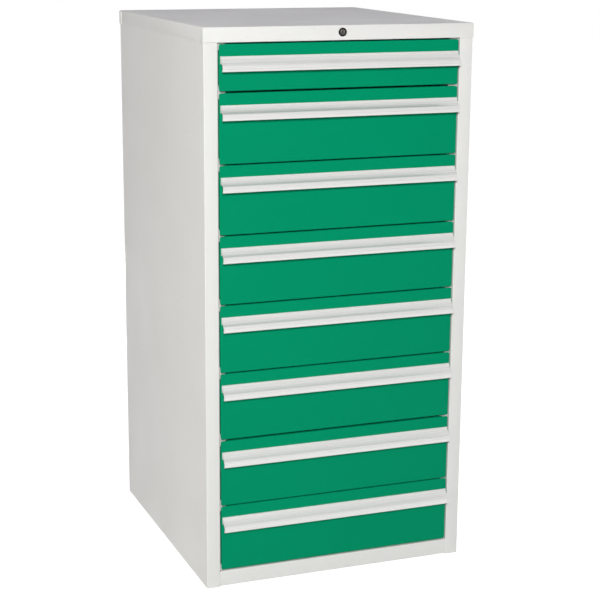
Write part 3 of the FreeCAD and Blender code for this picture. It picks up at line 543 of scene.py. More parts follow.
class Workpiece:
    """A mesh in the making, in millimetres."""

    def __init__(self, name: str) -> None:
        """Starts an empty piece with a name."""
        self.name = name
        self.form = bmesh.new()

    def prism(self, outline: Outline, axis: Axis, start: float, end: float) -> "Workpiece":
        """Adds a profile drawn along an axis.

        Args:
            outline: The profile.
            axis: The direction it is drawn along.
            start: Where it starts.
            end: Where it ends.

        Returns:
            This piece.
        """
        near = [self.form.verts.new(on_axis(axis, flat, start)) for flat in outline]
        far = [self.form.verts.new(on_axis(axis, flat, end)) for flat in outline]
        self.form.faces.new(near)
        self.form.faces.new(far[::-1])
        self.skin([near, far])
        return self

    def block(self, low: Place, high: Place) -> "Workpiece":
        """Adds a plain block between its lowest and its highest corner, and returns this piece."""
        flat = [(low[0], low[1]), (high[0], low[1]), (high[0], high[1]), (low[0], high[1])]
        return self.prism(flat, Axis.Z, low[2], high[2])

    def skin(self, rows: Sequence[Sequence[bmesh.types.BMVert]]) -> None:
        """Adds the faces between closed rows of corners.

        Args:
            rows: The rows, with equal counts of corners.
        """
        for row, following in zip(rows, rows[1:]):
            for number in range(len(row)):
                after = (number + 1) % len(row)
                self.form.faces.new((row[number], following[number], following[after], row[after]))

    def rings(self, rows: Sequence[Sequence[Vector]]) -> "Workpiece":
        """Adds a skin over rows of points, closed at both ends.

        Args:
            rows: Rings with equal counts of points.

        Returns:
            This piece.
        """
        made = [[self.form.verts.new(point) for point in row] for row in rows]
        self.skin(made)
        self.form.faces.new(made[0])
        self.form.faces.new(made[-1][::-1])
        return self

    def turned(self, profile: Outline, centre: Place, axis: Axis, steps: int = FACETS) -> "Workpiece":
        """Adds a turned form from its radii and their places along the axis, and returns this piece."""
        turns = [math.tau * step / steps for step in range(steps)]
        return self.rings([[swung(spot, centre, axis, turn) for turn in turns] for spot in profile])

    def collar(self, profile: Outline, centre: Place, axis: Axis, steps: int) -> "Workpiece":
        """Adds a turned form with a bore.

        Args:
            profile: Its closed outline, as radius and place along the axis.
            centre: A point of its axis.
            axis: The direction of its axis.
            steps: Facets round it.

        Returns:
            This piece.
        """
        turns = [math.tau * step / steps for step in range(steps)]
        made = [[self.form.verts.new(swung(spot, centre, axis, turn)) for spot in profile] for turn in turns]
        self.skin([*made, made[0]])
        return self

    def ball(self, centre: Place, radius: float) -> None:
        """Adds a ball."""
        place = Matrix.Translation(Vector(centre))
        bmesh.ops.create_icosphere(self.form, subdivisions=2, radius=radius, matrix=place)

    def pan(self, low: Point, high: Point, axis: Axis, rings: Outline, corner: Round) -> "Workpiece":
        """Adds a folded pan: rounded rectangles of growing and shrinking inset.

        Args:
            low: The rectangle's low corner.
            high: The rectangle's high corner.
            axis: The direction the pan is deep in.
            rings: Each ring's inset and its place along the axis, from the outside to the inside.
            corner: The corner without inset.

        Returns:
            This piece.
        """
        rows = []
        for inset, along in rings:
            radius = max(corner.radius - inset, TIGHTEST)
            shape = [
                (low[0] + inset, low[1] + inset),
                (high[0] - inset, low[1] + inset),
                (high[0] - inset, high[1] - inset),
                (low[0] + inset, high[1] - inset),
            ]
            rows.append([on_axis(axis, flat, along) for flat in rounded(shape, [radius] * 4, corner.steps)])
        return self.rings(rows)

    def finish(self, edge: float = 0.0, cutter: "Workpiece | None" = None) -> Solid:
        """Turns the piece into an object.

        Args:
            edge: The width of its softened edges, 0 to leave them.
            cutter: A form that is cut out of it first.

        Returns:
            The object, in metres.
        """
        bmesh.ops.recalc_face_normals(self.form, faces=self.form.faces)
        bmesh.ops.scale(self.form, vec=(MM, MM, MM), verts=self.form.verts)
        mesh = bpy.data.meshes.new(self.name)
        crease(self.form, mesh)
        piece = hang(self.name, mesh)
        if cutter:
            cut(piece, cutter.finish())
        if edge > 0.0:
            soften(piece, edge)
        return piece


def crease(form: bmesh.types.BMesh, mesh: bpy.types.Mesh) -> None:
    """Writes a form to a mesh that is smooth apart from its sharp corners.

    Args:
        form: The form, which is freed.
        mesh: Where it goes.
    """
    for edge in form.edges:
        edge.smooth = len(edge.link_faces) == 2 and edge.calc_face_angle() < SHARP
    for face in form.faces:
        face.smooth = True
    form.to_mesh(mesh)
    form.free()


def soften(piece: Solid, edge: float) -> None:
    """Breaks a piece's sharp edges.

    Args:
        piece: The piece.
        edge: The width of the broken edge, in millimetres.
    """
    bevel = piece.modifiers.new("softened_edges", "BEVEL")
    bevel.width = edge * MM
    bevel.segments = 2
    bevel.limit_method = "ANGLE"
    bevel.angle_limit = SHARP
    bevel.harden_normals = True


def weld(piece: Solid, other: Solid) -> None:
    """Adds another object's form to a piece's.

    Args:
        piece: The piece.
        other: What is added, and is then gone.
    """
    form = bmesh.new()
    form.from_mesh(piece.data)
    form.from_mesh(other.data)
    crease(form, piece.data)
    bpy.data.objects.remove(other)


def cut(piece: Solid, cutter: Solid) -> None:
    """Cuts one object out of another and throws the cutter away.

    Args:
        piece: What is cut.
        cutter: The form that is taken away.
    """
    step = piece.modifiers.new("cut", "BOOLEAN")
    step.operation = "DIFFERENCE"
    step.solver = "EXACT"
    step.object = cutter
    shaped = piece.evaluated_get(bpy.context.evaluated_depsgraph_get())
    mesh = bpy.data.meshes.new_from_object(shaped)
    mesh.name = piece.name
    piece.modifiers.remove(step)
    worn, piece.data = piece.data, mesh
    bpy.data.meshes.remove(worn)
    bpy.data.objects.remove(cutter)
    form = bmesh.new()
    form.from_mesh(mesh)
    crease(form, mesh)


def copies(pattern: Solid, name: str, places: Sequence[tuple[Side, float]]) -> Solid:
    """Makes one piece of copies of a right-hand pattern, mirrored where they go on the left.

    Args:
        pattern: The pattern, drawn at height 0 on the cabinet's right.
        name: The new piece's name.
        places: Each copy's side and height.

    Returns:
        The new piece.
    """
    form = bmesh.new()
    for side, level in places:
        known, made = len(form.verts), len(form.faces)
        form.from_mesh(pattern.data)
        form.verts.ensure_lookup_table()
        form.faces.ensure_lookup_table()
        for vert in form.verts[known:]:
            vert.co = (vert.co.x * side.value, vert.co.y, vert.co.z + level * MM)
        if side is Side.LEFT:
            bmesh.ops.reverse_faces(form, faces=form.faces[made:])
    mesh = bpy.data.meshes.new(name)
    crease(form, mesh)
    return hang(name, mesh)


def discard(*patterns: Solid) -> None:
    """Throws patterns away once they are copied."""
    for pattern in patterns:
        bpy.data.objects.remove(pattern)


@dataclass(frozen=True)
class Assembler:
    """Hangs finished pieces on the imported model."""

    shop: Paintshop

    def fit(self, piece: Solid, body: str, finish: Finish, *nodes: str) -> None:
        """Paints a piece, lets it ride on a body and hides what it replaces.

        Args:
            piece: The piece.
            body: The body that it moves with.
            finish: Its finish.
            nodes: The sub-parts that it stands for.
        """
        self.shop.paint(piece.data, finish)
        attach(piece, body)
        if nodes:
            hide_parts(*nodes)
        log.info("%s rides on %s", piece.name, body)


# The cabinet

CARCASS_BODY = "cabinet"


@dataclass(frozen=True)
class Plan:
    """The cabinet's main sizes, shared by its sub-assemblies."""

    half_width: float = 300.0
    front: float = -316.75
    depth: float = 650.0
    height: float = 1200.0
    sheet: float = 1.2
    fold: float = 2.0
    fascia: float = 31.0
    lock_drop: float = 14.5
    shallow: float = 94.5
    deep: float = 144.5
    gaps: tuple[float, ...] = (3.0, 3.8, 2.7, 2.7, 2.6, 2.7, 3.8, 2.2)
    edge: float = 0.2

    @property
    def drawers(self) -> range:
        """The drawers' numbers from the top down."""
        return range(1, len(self.gaps) + 1)

    @property
    def opening_top(self) -> float:
        """Height of the fascia's lower edge above the floor."""
        return self.height - self.fascia

    def front_height(self, drawer: int) -> float:
        """Height of a drawer's front, with drawer 1 at the top."""
        return self.shallow if drawer == 1 else self.deep

    def front_bottom(self, drawer: int) -> float:
        """Height of the lower edge of a drawer's front above the floor.

        Args:
            drawer: The drawer's number.

        Returns:
            The height.
        """
        level = self.opening_top
        for above in range(1, drawer + 1):
            level -= self.gaps[above - 1] + self.front_height(above)
        return level

    def front_top(self, drawer: int) -> float:
        """Height of the upper edge of a drawer's front above the floor."""
        return self.front_bottom(drawer) + self.front_height(drawer)


@dataclass
class Carcass:
    """Folded side panels, cap and plinth rail."""

    plan: Plan
    stile: float = 30.0
    stile_return: float = 9.8
    rear_flange: float = 25.0
    foot: float = 25.0
    ear_proud: float = 1.5
    ear_front: float = 18.0
    ear_rear: float = 14.0
    ear_corner: float = 0.6
    ear_round: float = 3.0
    roof_corner: Round = Round(0.6, 3)
    cap_edge: float = 0.3
    lip: float = 12.0
    strip_drop: float = 8.0
    strip_start: float = 52.0
    strip_end: float = 558.0
    lower_fold: float = 1.6
    roof_hole: float = 3.5
    roof_holes: Profile = ((-210.0, 95.0), (210.0, 95.0), (-210.0, 555.0), (210.0, 555.0))
    lock_hole: float = 8.1
    lock_hole_steps: int = 48
    plinth_low: float = 2.0
    plinth_top: float = 36.5
    plinth_half: float = 269.8
    plinth_edge: float = 0.25
    plinth_shelf: float = 30.0
    plinth_lip: float = 18.0
    drain: Point = (243.0, 2.0)
    drain_radius: float = 1.5
    drain_depth: float = 4.0
    rivet_rows: int = 7
    rivet_low: float = 60.0
    rivet_pitch: float = 180.0
    rivet_dome: Profile = (
        (3.2, 0.0), (3.2, 0.3), (2.8, 0.85), (2.0, 1.25), (1.2, 1.3), (1.0, 0.7), (0.3, 0.7)
    )

    @property
    def rear(self) -> float:
        """Where the cap's rear flange ends."""
        return self.plan.front + self.plan.depth + self.ear_proud

    def side_panel(self, side: Side) -> Solid:
        """Folds one side panel.

        Args:
            side: Which side it stands on.

        Returns:
            The panel.
        """
        plan = self.plan
        outer, sheet, fold = plan.half_width, plan.sheet, plan.fold
        inner = fold - sheet
        front, back = plan.front, plan.front + plan.depth
        stile = outer - self.stile
        section = [
            (outer, front),
            (stile, front),
            (stile, front + self.stile_return),
            (stile + sheet, front + self.stile_return),
            (stile + sheet, front + sheet),
            (outer - sheet, front + sheet),
            (outer - sheet, back - sheet),
            (outer - self.rear_flange, back - sheet),
            (outer - self.rear_flange, back),
            (outer, back),
        ]
        radii = [fold, fold, 0.0, 0.0, inner, inner, inner, 0.0, 0.0, fold]
        outline = [(x * side.value, y) for x, y in rounded(section, radii)]
        piece = Workpiece(f"side_panel_{side.name.lower()}_folded")
        piece.prism(outline, Axis.Z, 0.0, plan.opening_top)
        near, far = across(side, outer - self.foot, outer - sheet)
        piece.block((near, front + sheet, 0.0), (far, back - sheet, sheet))
        near, far = across(side, outer - sheet * 2, outer - sheet)
        low, high = plan.opening_top - self.strip_drop, plan.height - sheet * 2
        piece.block((near, front + self.strip_start, low), (far, front + self.strip_end, high))
        return piece.finish()

    def roof(self) -> Solid:
        """Folds the roof with its fascia and flanges, and drills the fixing holes and the lock hole.

        Returns:
            The roof.
        """
        plan = self.plan
        half, front, top, sheet = plan.half_width, plan.front, plan.height, plan.sheet
        low = plan.opening_top
        rings = folded(top, 1.0, Round(plan.fold), sheet, [(0.0, low), (sheet, low)])
        roof, drill = Workpiece("cap_folded"), Workpiece("drill")
        roof.pan((-half, front), (half, self.rear), Axis.Z, rings, self.roof_corner)
        for x, setback in self.roof_holes:
            drill.turned(bore(self.roof_hole), (x, front + setback, top), Axis.Z)
        drill.turned(bore(self.lock_hole), (0.0, front, top - plan.lock_drop), Axis.Y, self.lock_hole_steps)
        radius = self.lower_fold
        bend = arc((front + radius, low + radius), radius, 270.0, 180.0, steps=6)
        outside = [(front - CLEAR, low - CLEAR), (front + radius, low - CLEAR)]
        corner = [*outside, *bend, (front - CLEAR, low + radius)]
        drill.prism(corner, Axis.X, -half - DRILL, half + DRILL)
        return roof.finish(cutter=drill)

    def cap(self) -> Solid:
        """Folds the whole cap: roof, return under the fascia and the four wrapped corners.

        Returns:
            The cap.
        """
        plan = self.plan
        half, front, sheet, low = plan.half_width, plan.front, plan.sheet, plan.opening_top
        shoulder, small, large = plan.height - plan.fold, self.ear_corner, self.ear_round
        folds = Workpiece("cap_folds")
        folds.block((sheet - half, front + sheet, low), (half - sheet, front + self.lip, low + sheet))
        front_ear = [
            (front, low),
            (front + self.ear_front, low),
            (front + self.ear_front, shoulder - self.ear_front),
            (front, shoulder),
        ]
        rear_ear = [
            (self.rear - self.ear_rear, low),
            (self.rear, low),
            (self.rear, shoulder),
            (self.rear - self.ear_rear, shoulder),
        ]
        for side in Side:
            near, far = across(side, half, half + self.ear_proud)
            folds.prism(rounded(front_ear, [self.lower_fold, small, large, 0.0]), Axis.X, near, far)
            folds.prism(rounded(rear_ear, [small, small, 0.0, large]), Axis.X, near, far)
        cap = self.roof()
        weld(cap, folds.finish())
        soften(cap, self.cap_edge)
        return cap

    def plinth(self) -> Solid:
        """Folds the plinth rail and notches its lower edge.

        Returns:
            The rail.
        """
        front, sheet, fold = self.plan.front, self.plan.sheet, self.plan.fold
        low, top = self.plinth_low, self.plinth_top
        section = [
            (front, low),
            (front + self.plinth_lip, low),
            (front + self.plinth_lip, low + sheet),
            (front + sheet, low + sheet),
            (front + sheet, top - sheet),
            (front + self.plinth_shelf, top - sheet),
            (front + self.plinth_shelf, top),
            (front, top),
        ]
        inner = fold - sheet
        outline = rounded(section, [fold, 0.0, 0.0, inner, inner, 0.0, 0.0, fold])
        rail = Workpiece("plinth_folded").prism(outline, Axis.X, -self.plinth_half, self.plinth_half)
        place, hole = (self.drain[0], front, self.drain[1]), bore(self.drain_radius, self.drain_depth)
        return rail.finish(self.plinth_edge, Workpiece("drill").turned(hole, place, Axis.Y))

    def rivets(self) -> Solid:
        """Sets the blind rivets that hold the back sheet to the side panels' rear flanges.

        Returns:
            The rivets.
        """
        back, inset = self.plan.front + self.plan.depth, self.plan.half_width - self.rear_flange / 2.0
        piece = Workpiece("back_rivets")
        for side in Side:
            for row in range(self.rivet_rows):
                place = (inset * side.value, back, self.rivet_low + row * self.rivet_pitch)
                piece.turned(self.rivet_dome, place, Axis.Y)
        return piece.finish()

    def build(self, hands: Assembler) -> None:
        """Builds the carcass.

        Args:
            hands: What fits its pieces.
        """
        for side in Side:
            hands.fit(self.side_panel(side), CARCASS_BODY, Finish.CARCASS, f"side_panel_{side.name.lower()}")
        hands.fit(self.cap(), CARCASS_BODY, Finish.CARCASS, "top_cap")
        hands.fit(self.plinth(), CARCASS_BODY, Finish.CARCASS, "plinth_rail")
        hands.fit(self.rivets(), CARCASS_BODY, Finish.SCREW)


@dataclass
class Pull:
    """Full-width extruded pull: a shallow hollow that slopes out to a nose, gripped from below."""

    plan: Plan
    half_length: float = 265.0
    drop: float = 24.0
    reach: float = 17.95
    height: float = 30.5
    lip: float = 2.2
    lip_reach: float = 3.0
    rebate: float = 0.7
    hollow: float = 44.0
    brow: Point = (-15.0, -16.4)
    brow_round: float = 6.9
    nose_drop: float = 21.0
    bulge: float = 0.35
    skin: float = 2.0
    bead: float = 2.0
    leg: float = 15.6
    root: float = 4.6
    inner: Point = (-13.8, -18.0)
    edge: float = 0.5

    def section(self) -> list[Point]:
        """The extrusion's section, with its top at 0 and the drawer front's face at 0.

        Returns:
            The outline in Y and Z.
        """
        nose = self.bulge - self.reach
        bottom = self.bead - self.height
        half = (bottom + self.nose_drop) / -2.0
        crown = (half * half + self.bulge * self.bulge) / (self.bulge * 2.0)
        inside = nose + self.skin
        shelf = -self.lip - self.rebate
        edge, lip = self.edge, self.edge - self.lip_reach
        outline = [(0.0, 0.0), *arc((lip, -edge), edge, 90.0, 180.0, steps=3)]
        outline += [(-self.lip_reach, edge - self.lip), (lip, -self.lip)]
        outline += bow((self.rebate - self.lip_reach, shelf), self.brow, -self.hollow, steps=16)
        outline += bow(self.brow, (nose, -self.nose_drop), self.brow_round, steps=10)[1:]
        outline += bow((nose, -self.nose_drop), (nose, bottom), crown, steps=6)[1:]
        outline += arc((nose + self.bead, bottom), self.bead, 180.0, 360.0, steps=12)[1:]
        outline += [(inside, bottom + self.bead * 2.0)]
        outline += bow((inside, -self.nose_drop), self.inner, self.skin - self.brow_round, steps=6)
        outline += bow(self.inner, (-self.skin, -self.root), self.hollow + self.skin, steps=12)[1:]
        outline += [(-self.skin, -self.leg), (0.0, -self.leg)]
        return outline

    def make(self, drawer: int) -> Solid:
        """Cuts one length of the extrusion for a drawer.

        Args:
            drawer: The drawer's number.

        Returns:
            The pull.
        """
        front, level = self.plan.front, self.plan.front_top(drawer) - self.drop
        outline = [(y + front, z + level) for y, z in self.section()]
        piece = Workpiece(f"pull_{drawer}").prism(outline, Axis.X, -self.half_length, self.half_length)
        return piece.finish(self.plan.edge)


@dataclass
class DrawerFront:
    """Green folded front with rounded folds and corner reliefs."""

    plan: Plan
    half_width: float = 267.0
    depth: float = 8.5
    corner: Round = Round(4.0)
    relief: float = 12.0
    rim: float = 2.5

    def make(self, drawer: int) -> Solid:
        """Folds the front of a drawer.

        Args:
            drawer: The drawer's number.

        Returns:
            The front.
        """
        plan = self.plan
        front, back = plan.front, plan.front + self.depth
        low, high = plan.front_bottom(drawer), plan.front_top(drawer)
        rings = folded(front, -1.0, Round(plan.fold), plan.sheet, [(0.0, back), (plan.sheet, back)])
        pan, notch = Workpiece(f"front_{drawer}_folded"), Workpiece("notch")
        pan.pan((-self.half_width, low), (self.half_width, high), Axis.Y, rings, self.corner)
        for side in Side:
            near, far = across(side, self.half_width - self.relief, self.half_width + CLEAR)
            for bottom, top in ((low - CLEAR, low + self.relief), (high - self.relief, high + CLEAR)):
                notch.block((near, front + self.rim, bottom), (far, back + CLEAR, top))
        return pan.finish(plan.edge, notch)


@dataclass
class Tray:
    """Folded drawer tray with a hemmed rim, its lock catch and the screws that hold its front."""

    plan: Plan
    half_width: float = 232.0
    length: float = 608.8
    sheet: float = 1.0
    lift: float = 8.0
    drop: float = 16.5
    hem: float = 6.0
    corner: Round = Round(2.0, 5)
    edge: float = 0.15
    catch_low: Place = (232.0, 30.0, 68.5)
    catch_high: Place = (249.5, 32.5, 76.5)
    screw_x: tuple[float, ...] = (-190.0, -64.0, 64.0, 190.0)
    screw_radius: float = 4.0
    screw_height: float = 1.8
    screw_drop: float = 18.0
    screw_dome: Profile = ((1.0, 0.0), (1.0, 0.35), (0.86, 0.75), (0.6, 1.0), (0.15, 1.0))
    slot_half: Point = (2.0, 0.45)
    slot_depth: float = 0.9

    def make(self, drawer: int) -> Solid:
        """Folds the tray of a drawer.

        Args:
            drawer: The drawer's number.

        Returns:
            The tray with its catch.
        """
        plan = self.plan
        base = plan.front_bottom(drawer)
        floor, rim = base + self.lift, plan.front_top(drawer) - self.drop
        near = plan.front + plan.sheet
        sheet, hem = self.sheet, self.hem
        lip = [(sheet - x, rim - sheet + y) for x, y in arc((0.0, 0.0), sheet, 0.0, 90.0, steps=4)]
        mouth = [*lip, (hem, rim), (hem, rim - sheet), (sheet, rim - sheet)]
        rings = folded(floor, -1.0, self.corner, sheet, mouth)
        piece = Workpiece(f"tray_{drawer}_folded")
        far = near + self.length
        piece.pan((-self.half_width, near), (self.half_width, far), Axis.Z, rings, self.corner)
        low, high = ((x, plan.front + y, base + z) for x, y, z in (self.catch_low, self.catch_high))
        return piece.block(low, high).finish(self.edge)

    def screws(self, drawer: int) -> Solid:
        """Makes the row of pan heads inside the tray that hold its front and pull.

        Args:
            drawer: The drawer's number.

        Returns:
            The screws.
        """
        level = self.plan.front_top(drawer) - self.drop - self.screw_drop
        wall = self.plan.front + self.plan.sheet + self.sheet
        dome = [(self.screw_radius * x, self.screw_height * y) for x, y in self.screw_dome]
        bottom, top = wall + self.screw_height - self.slot_depth, wall + self.screw_height + CLEAR / 2.0
        wide, high = self.slot_half
        heads, recess = Workpiece(f"front_screws_{drawer}"), Workpiece("recess")
        for x in self.screw_x:
            heads.turned(dome, (x, wall, level), Axis.Y)
            recess.block((x - wide, bottom, level - high), (x + wide, top, level + high))
        return heads.finish(cutter=recess)


@dataclass
class Drawers:
    """The eight drawers with their fronts, pulls and trays."""

    plan: Plan

    def build(self, hands: Assembler) -> None:
        """Builds every drawer from the top down.

        Args:
            hands: What fits the pieces.
        """
        front, pull, tray = DrawerFront(self.plan), Pull(self.plan), Tray(self.plan)
        for drawer in self.plan.drawers:
            body = f"drawer_{drawer}"
            hands.fit(front.make(drawer), body, Finish.FRONT, f"drawer_front_{drawer}")
            hands.fit(pull.make(drawer), body, Finish.PULL, f"drawer_handle_{drawer}")
            hands.fit(tray.make(drawer), body, Finish.TRAY, f"drawer_tray_{drawer}")
            hands.fit(tray.screws(drawer), body, Finish.SCREW)


@dataclass(frozen=True)
class Openings:
    """Equal round-ended holes in the web of a slide's member."""

    places: tuple[float, ...]
    radius: float
    length: float = 0.01

    def outlines(self, start: float) -> list[Outline]:
        """The outline of each hole, in Y and Z.

        Args:
            start: Where the slide starts.

        Returns:
            The outlines.
        """
        found, half = [], self.length / 2.0
        for middle in (start + place for place in self.places):
            ahead = arc((middle + half, 0.0), self.radius, -90.0, 90.0, steps=8)
            found.append([*ahead, *arc((middle - half, 0.0), self.radius, 90.0, 270.0, steps=8)])
        return found


@dataclass(frozen=True)
class Rail:
    """One rolled and punched member of a slide: an open channel."""

    web: float
    tip: float
    half: float
    web_gauge: float
    flange_gauge: float
    openings: tuple[Openings, ...]
    bend: float = 1.1
    rolled: float = 0.4

    @property
    def inward(self) -> float:
        """1.0 where the channel opens towards +X, or else -1.0."""
        return math.copysign(1.0, self.tip - self.web)

    @property
    def floor(self) -> float:
        """The inner face of its web, along X."""
        return self.web + self.web_gauge * self.inward

    def section(self) -> list[Point]:
        """The member's section, with rounded bends and rolled edges.

        Returns:
            The outline in X and Z.
        """
        inside, lip = self.floor, self.half - self.flange_gauge
        corners = [
            (self.web, -self.half),
            (self.tip, -self.half),
            (self.tip, -lip),
            (inside, -lip),
            (inside, lip),
            (self.tip, lip),
            (self.tip, self.half),
            (self.web, self.half),
        ]
        inner, outer, edge = self.bend, self.flange_gauge + self.bend, self.flange_gauge * self.rolled
        return rounded(corners, [outer, edge, edge, inner, inner, edge, edge, outer], steps=5)


@dataclass(frozen=True)
class CrossHead:
    """A screw or rivet turned in one piece along X, with a cross recess in its head."""

    profile: Profile
    recess: Point
    arm: float
    blade: float

    def cross(self, along: float) -> list[Point]:
        """The outline of the recess in Y and Z.

        Args:
            along: Its middle.

        Returns:
            The outline.
        """
        quarter = [(self.arm, -self.blade), (self.arm, self.blade), (self.blade, self.blade)]
        outline = []
        for cosine, sine in ((1, 0), (0, 1), (-1, 0), (0, -1)):
            outline += [(along + y * cosine - z * sine, y * sine + z * cosine) for y, z in quarter]
        return outline

    def row(self, name: str, seat: float, places: Sequence[float]) -> Solid:
        """Makes a row of them.

        Args:
            name: The row's name.
            seat: Where their heads rest, along X.
            places: Their places along Y.

        Returns:
            The row.
        """
        heads, cutter = Workpiece(name), Workpiece("recess")
        for along in places:
            heads.turned(self.profile, (seat, along, 0.0), Axis.X)
            cutter.prism(self.cross(along), Axis.X, seat + self.recess[0], seat + self.recess[1])
        return heads.finish(cutter=cutter)


POST_SCREW = CrossHead(
    (
        (0.3, -2.0), (2.25, -2.0), (3.87, -1.44), (4.5, -0.6), (4.5, 0.0),
        (2.4, 0.0), (2.4, 5.2), (1.6, 6.0), (0.3, 6.0),
    ),
    (-3.0, -0.9), 2.3, 0.45,
)
TRAY_HEAD = CrossHead(((3.6, 0.0), (3.6, 0.5), (3.0, 1.1), (2.0, 1.4), (0.3, 1.4)), (0.6, 2.5), 1.8, 0.4)


@dataclass(frozen=True)
class Lever:
    """The curved lever that lets a drawer off its slide, with its round button."""

    start: float = 214.0
    outline: Profile = (
        (0.0, -3.4), (16.0, -4.2), (40.0, -1.0), (64.0, 1.2),
        (64.0, 3.6), (40.0, 2.4), (16.0, 3.6), (0.0, 3.4),
    )
    rounds: tuple[float, ...] = (2.6, 8.0, 20.0, 1.0, 1.0, 20.0, 8.0, 2.6)
    gauge: float = 2.2
    button: Profile = ((3.0, 0.0), (3.0, 2.9), (2.5, 3.2), (0.3, 3.2))
    button_setback: float = 8.0
    edge: float = 0.15

    def mould(self, slide_start: float, seat: float) -> Solid:
        """Moulds the lever.

        Args:
            slide_start: Where the slide starts.
            seat: Where the lever rests, along X.

        Returns:
            The lever.
        """
        near = slide_start + self.start
        outline = rounded([(near + y, z) for y, z in self.outline], self.rounds, steps=5)
        lever = Workpiece("release_lever").prism(outline, Axis.X, seat, seat + self.gauge)
        lever.turned(self.button, (seat, near + self.button_setback, 0.0), Axis.X)
        return lever.finish(self.edge)


@dataclass
class Slides:
    """Ball-bearing telescopic slides: fixed, middle and drawer members, with their cages and screws."""

    plan: Plan
    centre: float = 33.0
    setback: float = 12.0
    length: float = 600.0
    fixed: Rail = Rail(250.0, 238.0, 22.5, 1.5, 1.5, (
        Openings((6.0, 556.0), 2.5),
        Openings((38.0, 134.0, 294.0, 422.0, 518.0), 2.3),
        Openings((70.0, 166.0, 230.0, 358.0, 454.0), 2.3, 7.0),
    ))
    middle: Rail = Rail(245.8, 237.0, 18.0, 1.2, 1.2, (
        Openings((48.0, 120.0, 192.0, 264.0, 408.0, 504.0), 4.0, 16.0),
    ))
    moving: Rail = Rail(232.0, 243.5, 13.8, 1.5, 1.2, (
        Openings((38.0, 134.0, 294.0, 422.0, 518.0), 2.2, 5.0),
    ))
    post_screws: tuple[float, ...] = (6.0, 556.0)
    tray_screws: tuple[float, ...] = (26.0, 154.0, 410.0, 570.0)
    race_x: float = 240.5
    outer_race: float = 19.5
    inner_race: float = 15.3
    ball: float = 1.46
    ball_pitch: float = 20.0
    cage_width: float = 4.6
    cage_gauge: float = 0.9
    cage_length: float = 280.0
    cage_lag: float = 320.0
    punch_past: float = 0.6
    lever: Lever = Lever()

    @property
    def start(self) -> float:
        """Where the slides begin, behind the cabinet's front."""
        return self.plan.front + self.setback

    def roll(self, name: str, rail: Rail) -> Solid:
        """Rolls a member and punches its web.

        Args:
            name: The member's name.
            rail: What it is like.

        Returns:
            The member.
        """
        member = Workpiece(name).prism(rail.section(), Axis.Y, self.start, self.start + self.length)
        near, far = rail.web - rail.inward, rail.web + (rail.web_gauge + self.punch_past) * rail.inward
        punch = Workpiece("punch")
        for openings in rail.openings:
            for outline in openings.outlines(self.start):
                punch.prism(outline, Axis.X, min(near, far), max(near, far))
        return member.finish(cutter=punch)

    def cages(self) -> Solid:
        """Makes the four ball cages that travel with the middle member, with their balls.

        Returns:
            The cages.
        """
        cages = Workpiece("ball_cages")
        half_width, half_gauge = self.cage_width / 2.0, self.cage_gauge / 2.0
        for race, lag in ((self.outer_race, self.cage_lag), (self.inner_race, 0.0)):
            near = self.start + lag
            for height in (race, -race):
                low = (self.race_x - half_width, near, height - half_gauge)
                cages.block(low, (self.race_x + half_width, near + self.cage_length, height + half_gauge))
                for number in range(int(self.cage_length / self.ball_pitch)):
                    along = near + self.ball_pitch * (number + 0.5)
                    cages.ball((self.race_x, along, height), self.ball)
        return cages.finish()

    def build(self, hands: Assembler) -> None:
        """Builds the slides of every drawer.

        Args:
            hands: What fits the pieces.
        """
        fixed = self.roll("fixed_member", self.fixed)
        middle = self.roll("middle_member", self.middle)
        weld(middle, self.cages())
        moving = self.roll("drawer_member", self.moving)
        places = [self.start + at for at in self.post_screws]
        screws = POST_SCREW.row("slide_screws", self.fixed.floor, places)
        places = [self.start + at for at in self.tray_screws]
        heads = TRAY_HEAD.row("tray_heads", self.moving.floor, places)
        lever = self.lever.mould(self.start, self.moving.floor)
        levels = [self.plan.front_bottom(drawer) + self.centre for drawer in self.plan.drawers]
        for side in Side:
            name, places = side.name.lower(), [(side, level) for level in levels]
            members = copies(fixed, f"slides_fixed_{name}", places)
            hands.fit(members, CARCASS_BODY, Finish.SLIDE, f"cabinet_runners_{name}")
        places = [(side, level) for side in Side for level in levels]
        hands.fit(copies(screws, "slide_screws_all", places), CARCASS_BODY, Finish.SCREW, "runner_screws")
        for drawer, level in zip(self.plan.drawers, levels):
            pair, own, body = [(side, level) for side in Side], f"slide_{drawer}", f"drawer_{drawer}"
            hands.fit(copies(middle, f"{own}_middle", pair), own, Finish.SLIDE, f"slide_middle_{drawer}")
            hands.fit(copies(moving, f"{own}_inner", pair), body, Finish.SLIDE, f"drawer_runner_{drawer}")
            hands.fit(copies(heads, f"{own}_heads", pair), body, Finish.SCREW)
            hands.fit(copies(lever, f"{own}_lever", pair), body, Finish.GUIDE)
        discard(fixed, middle, moving, screws, heads, lever)


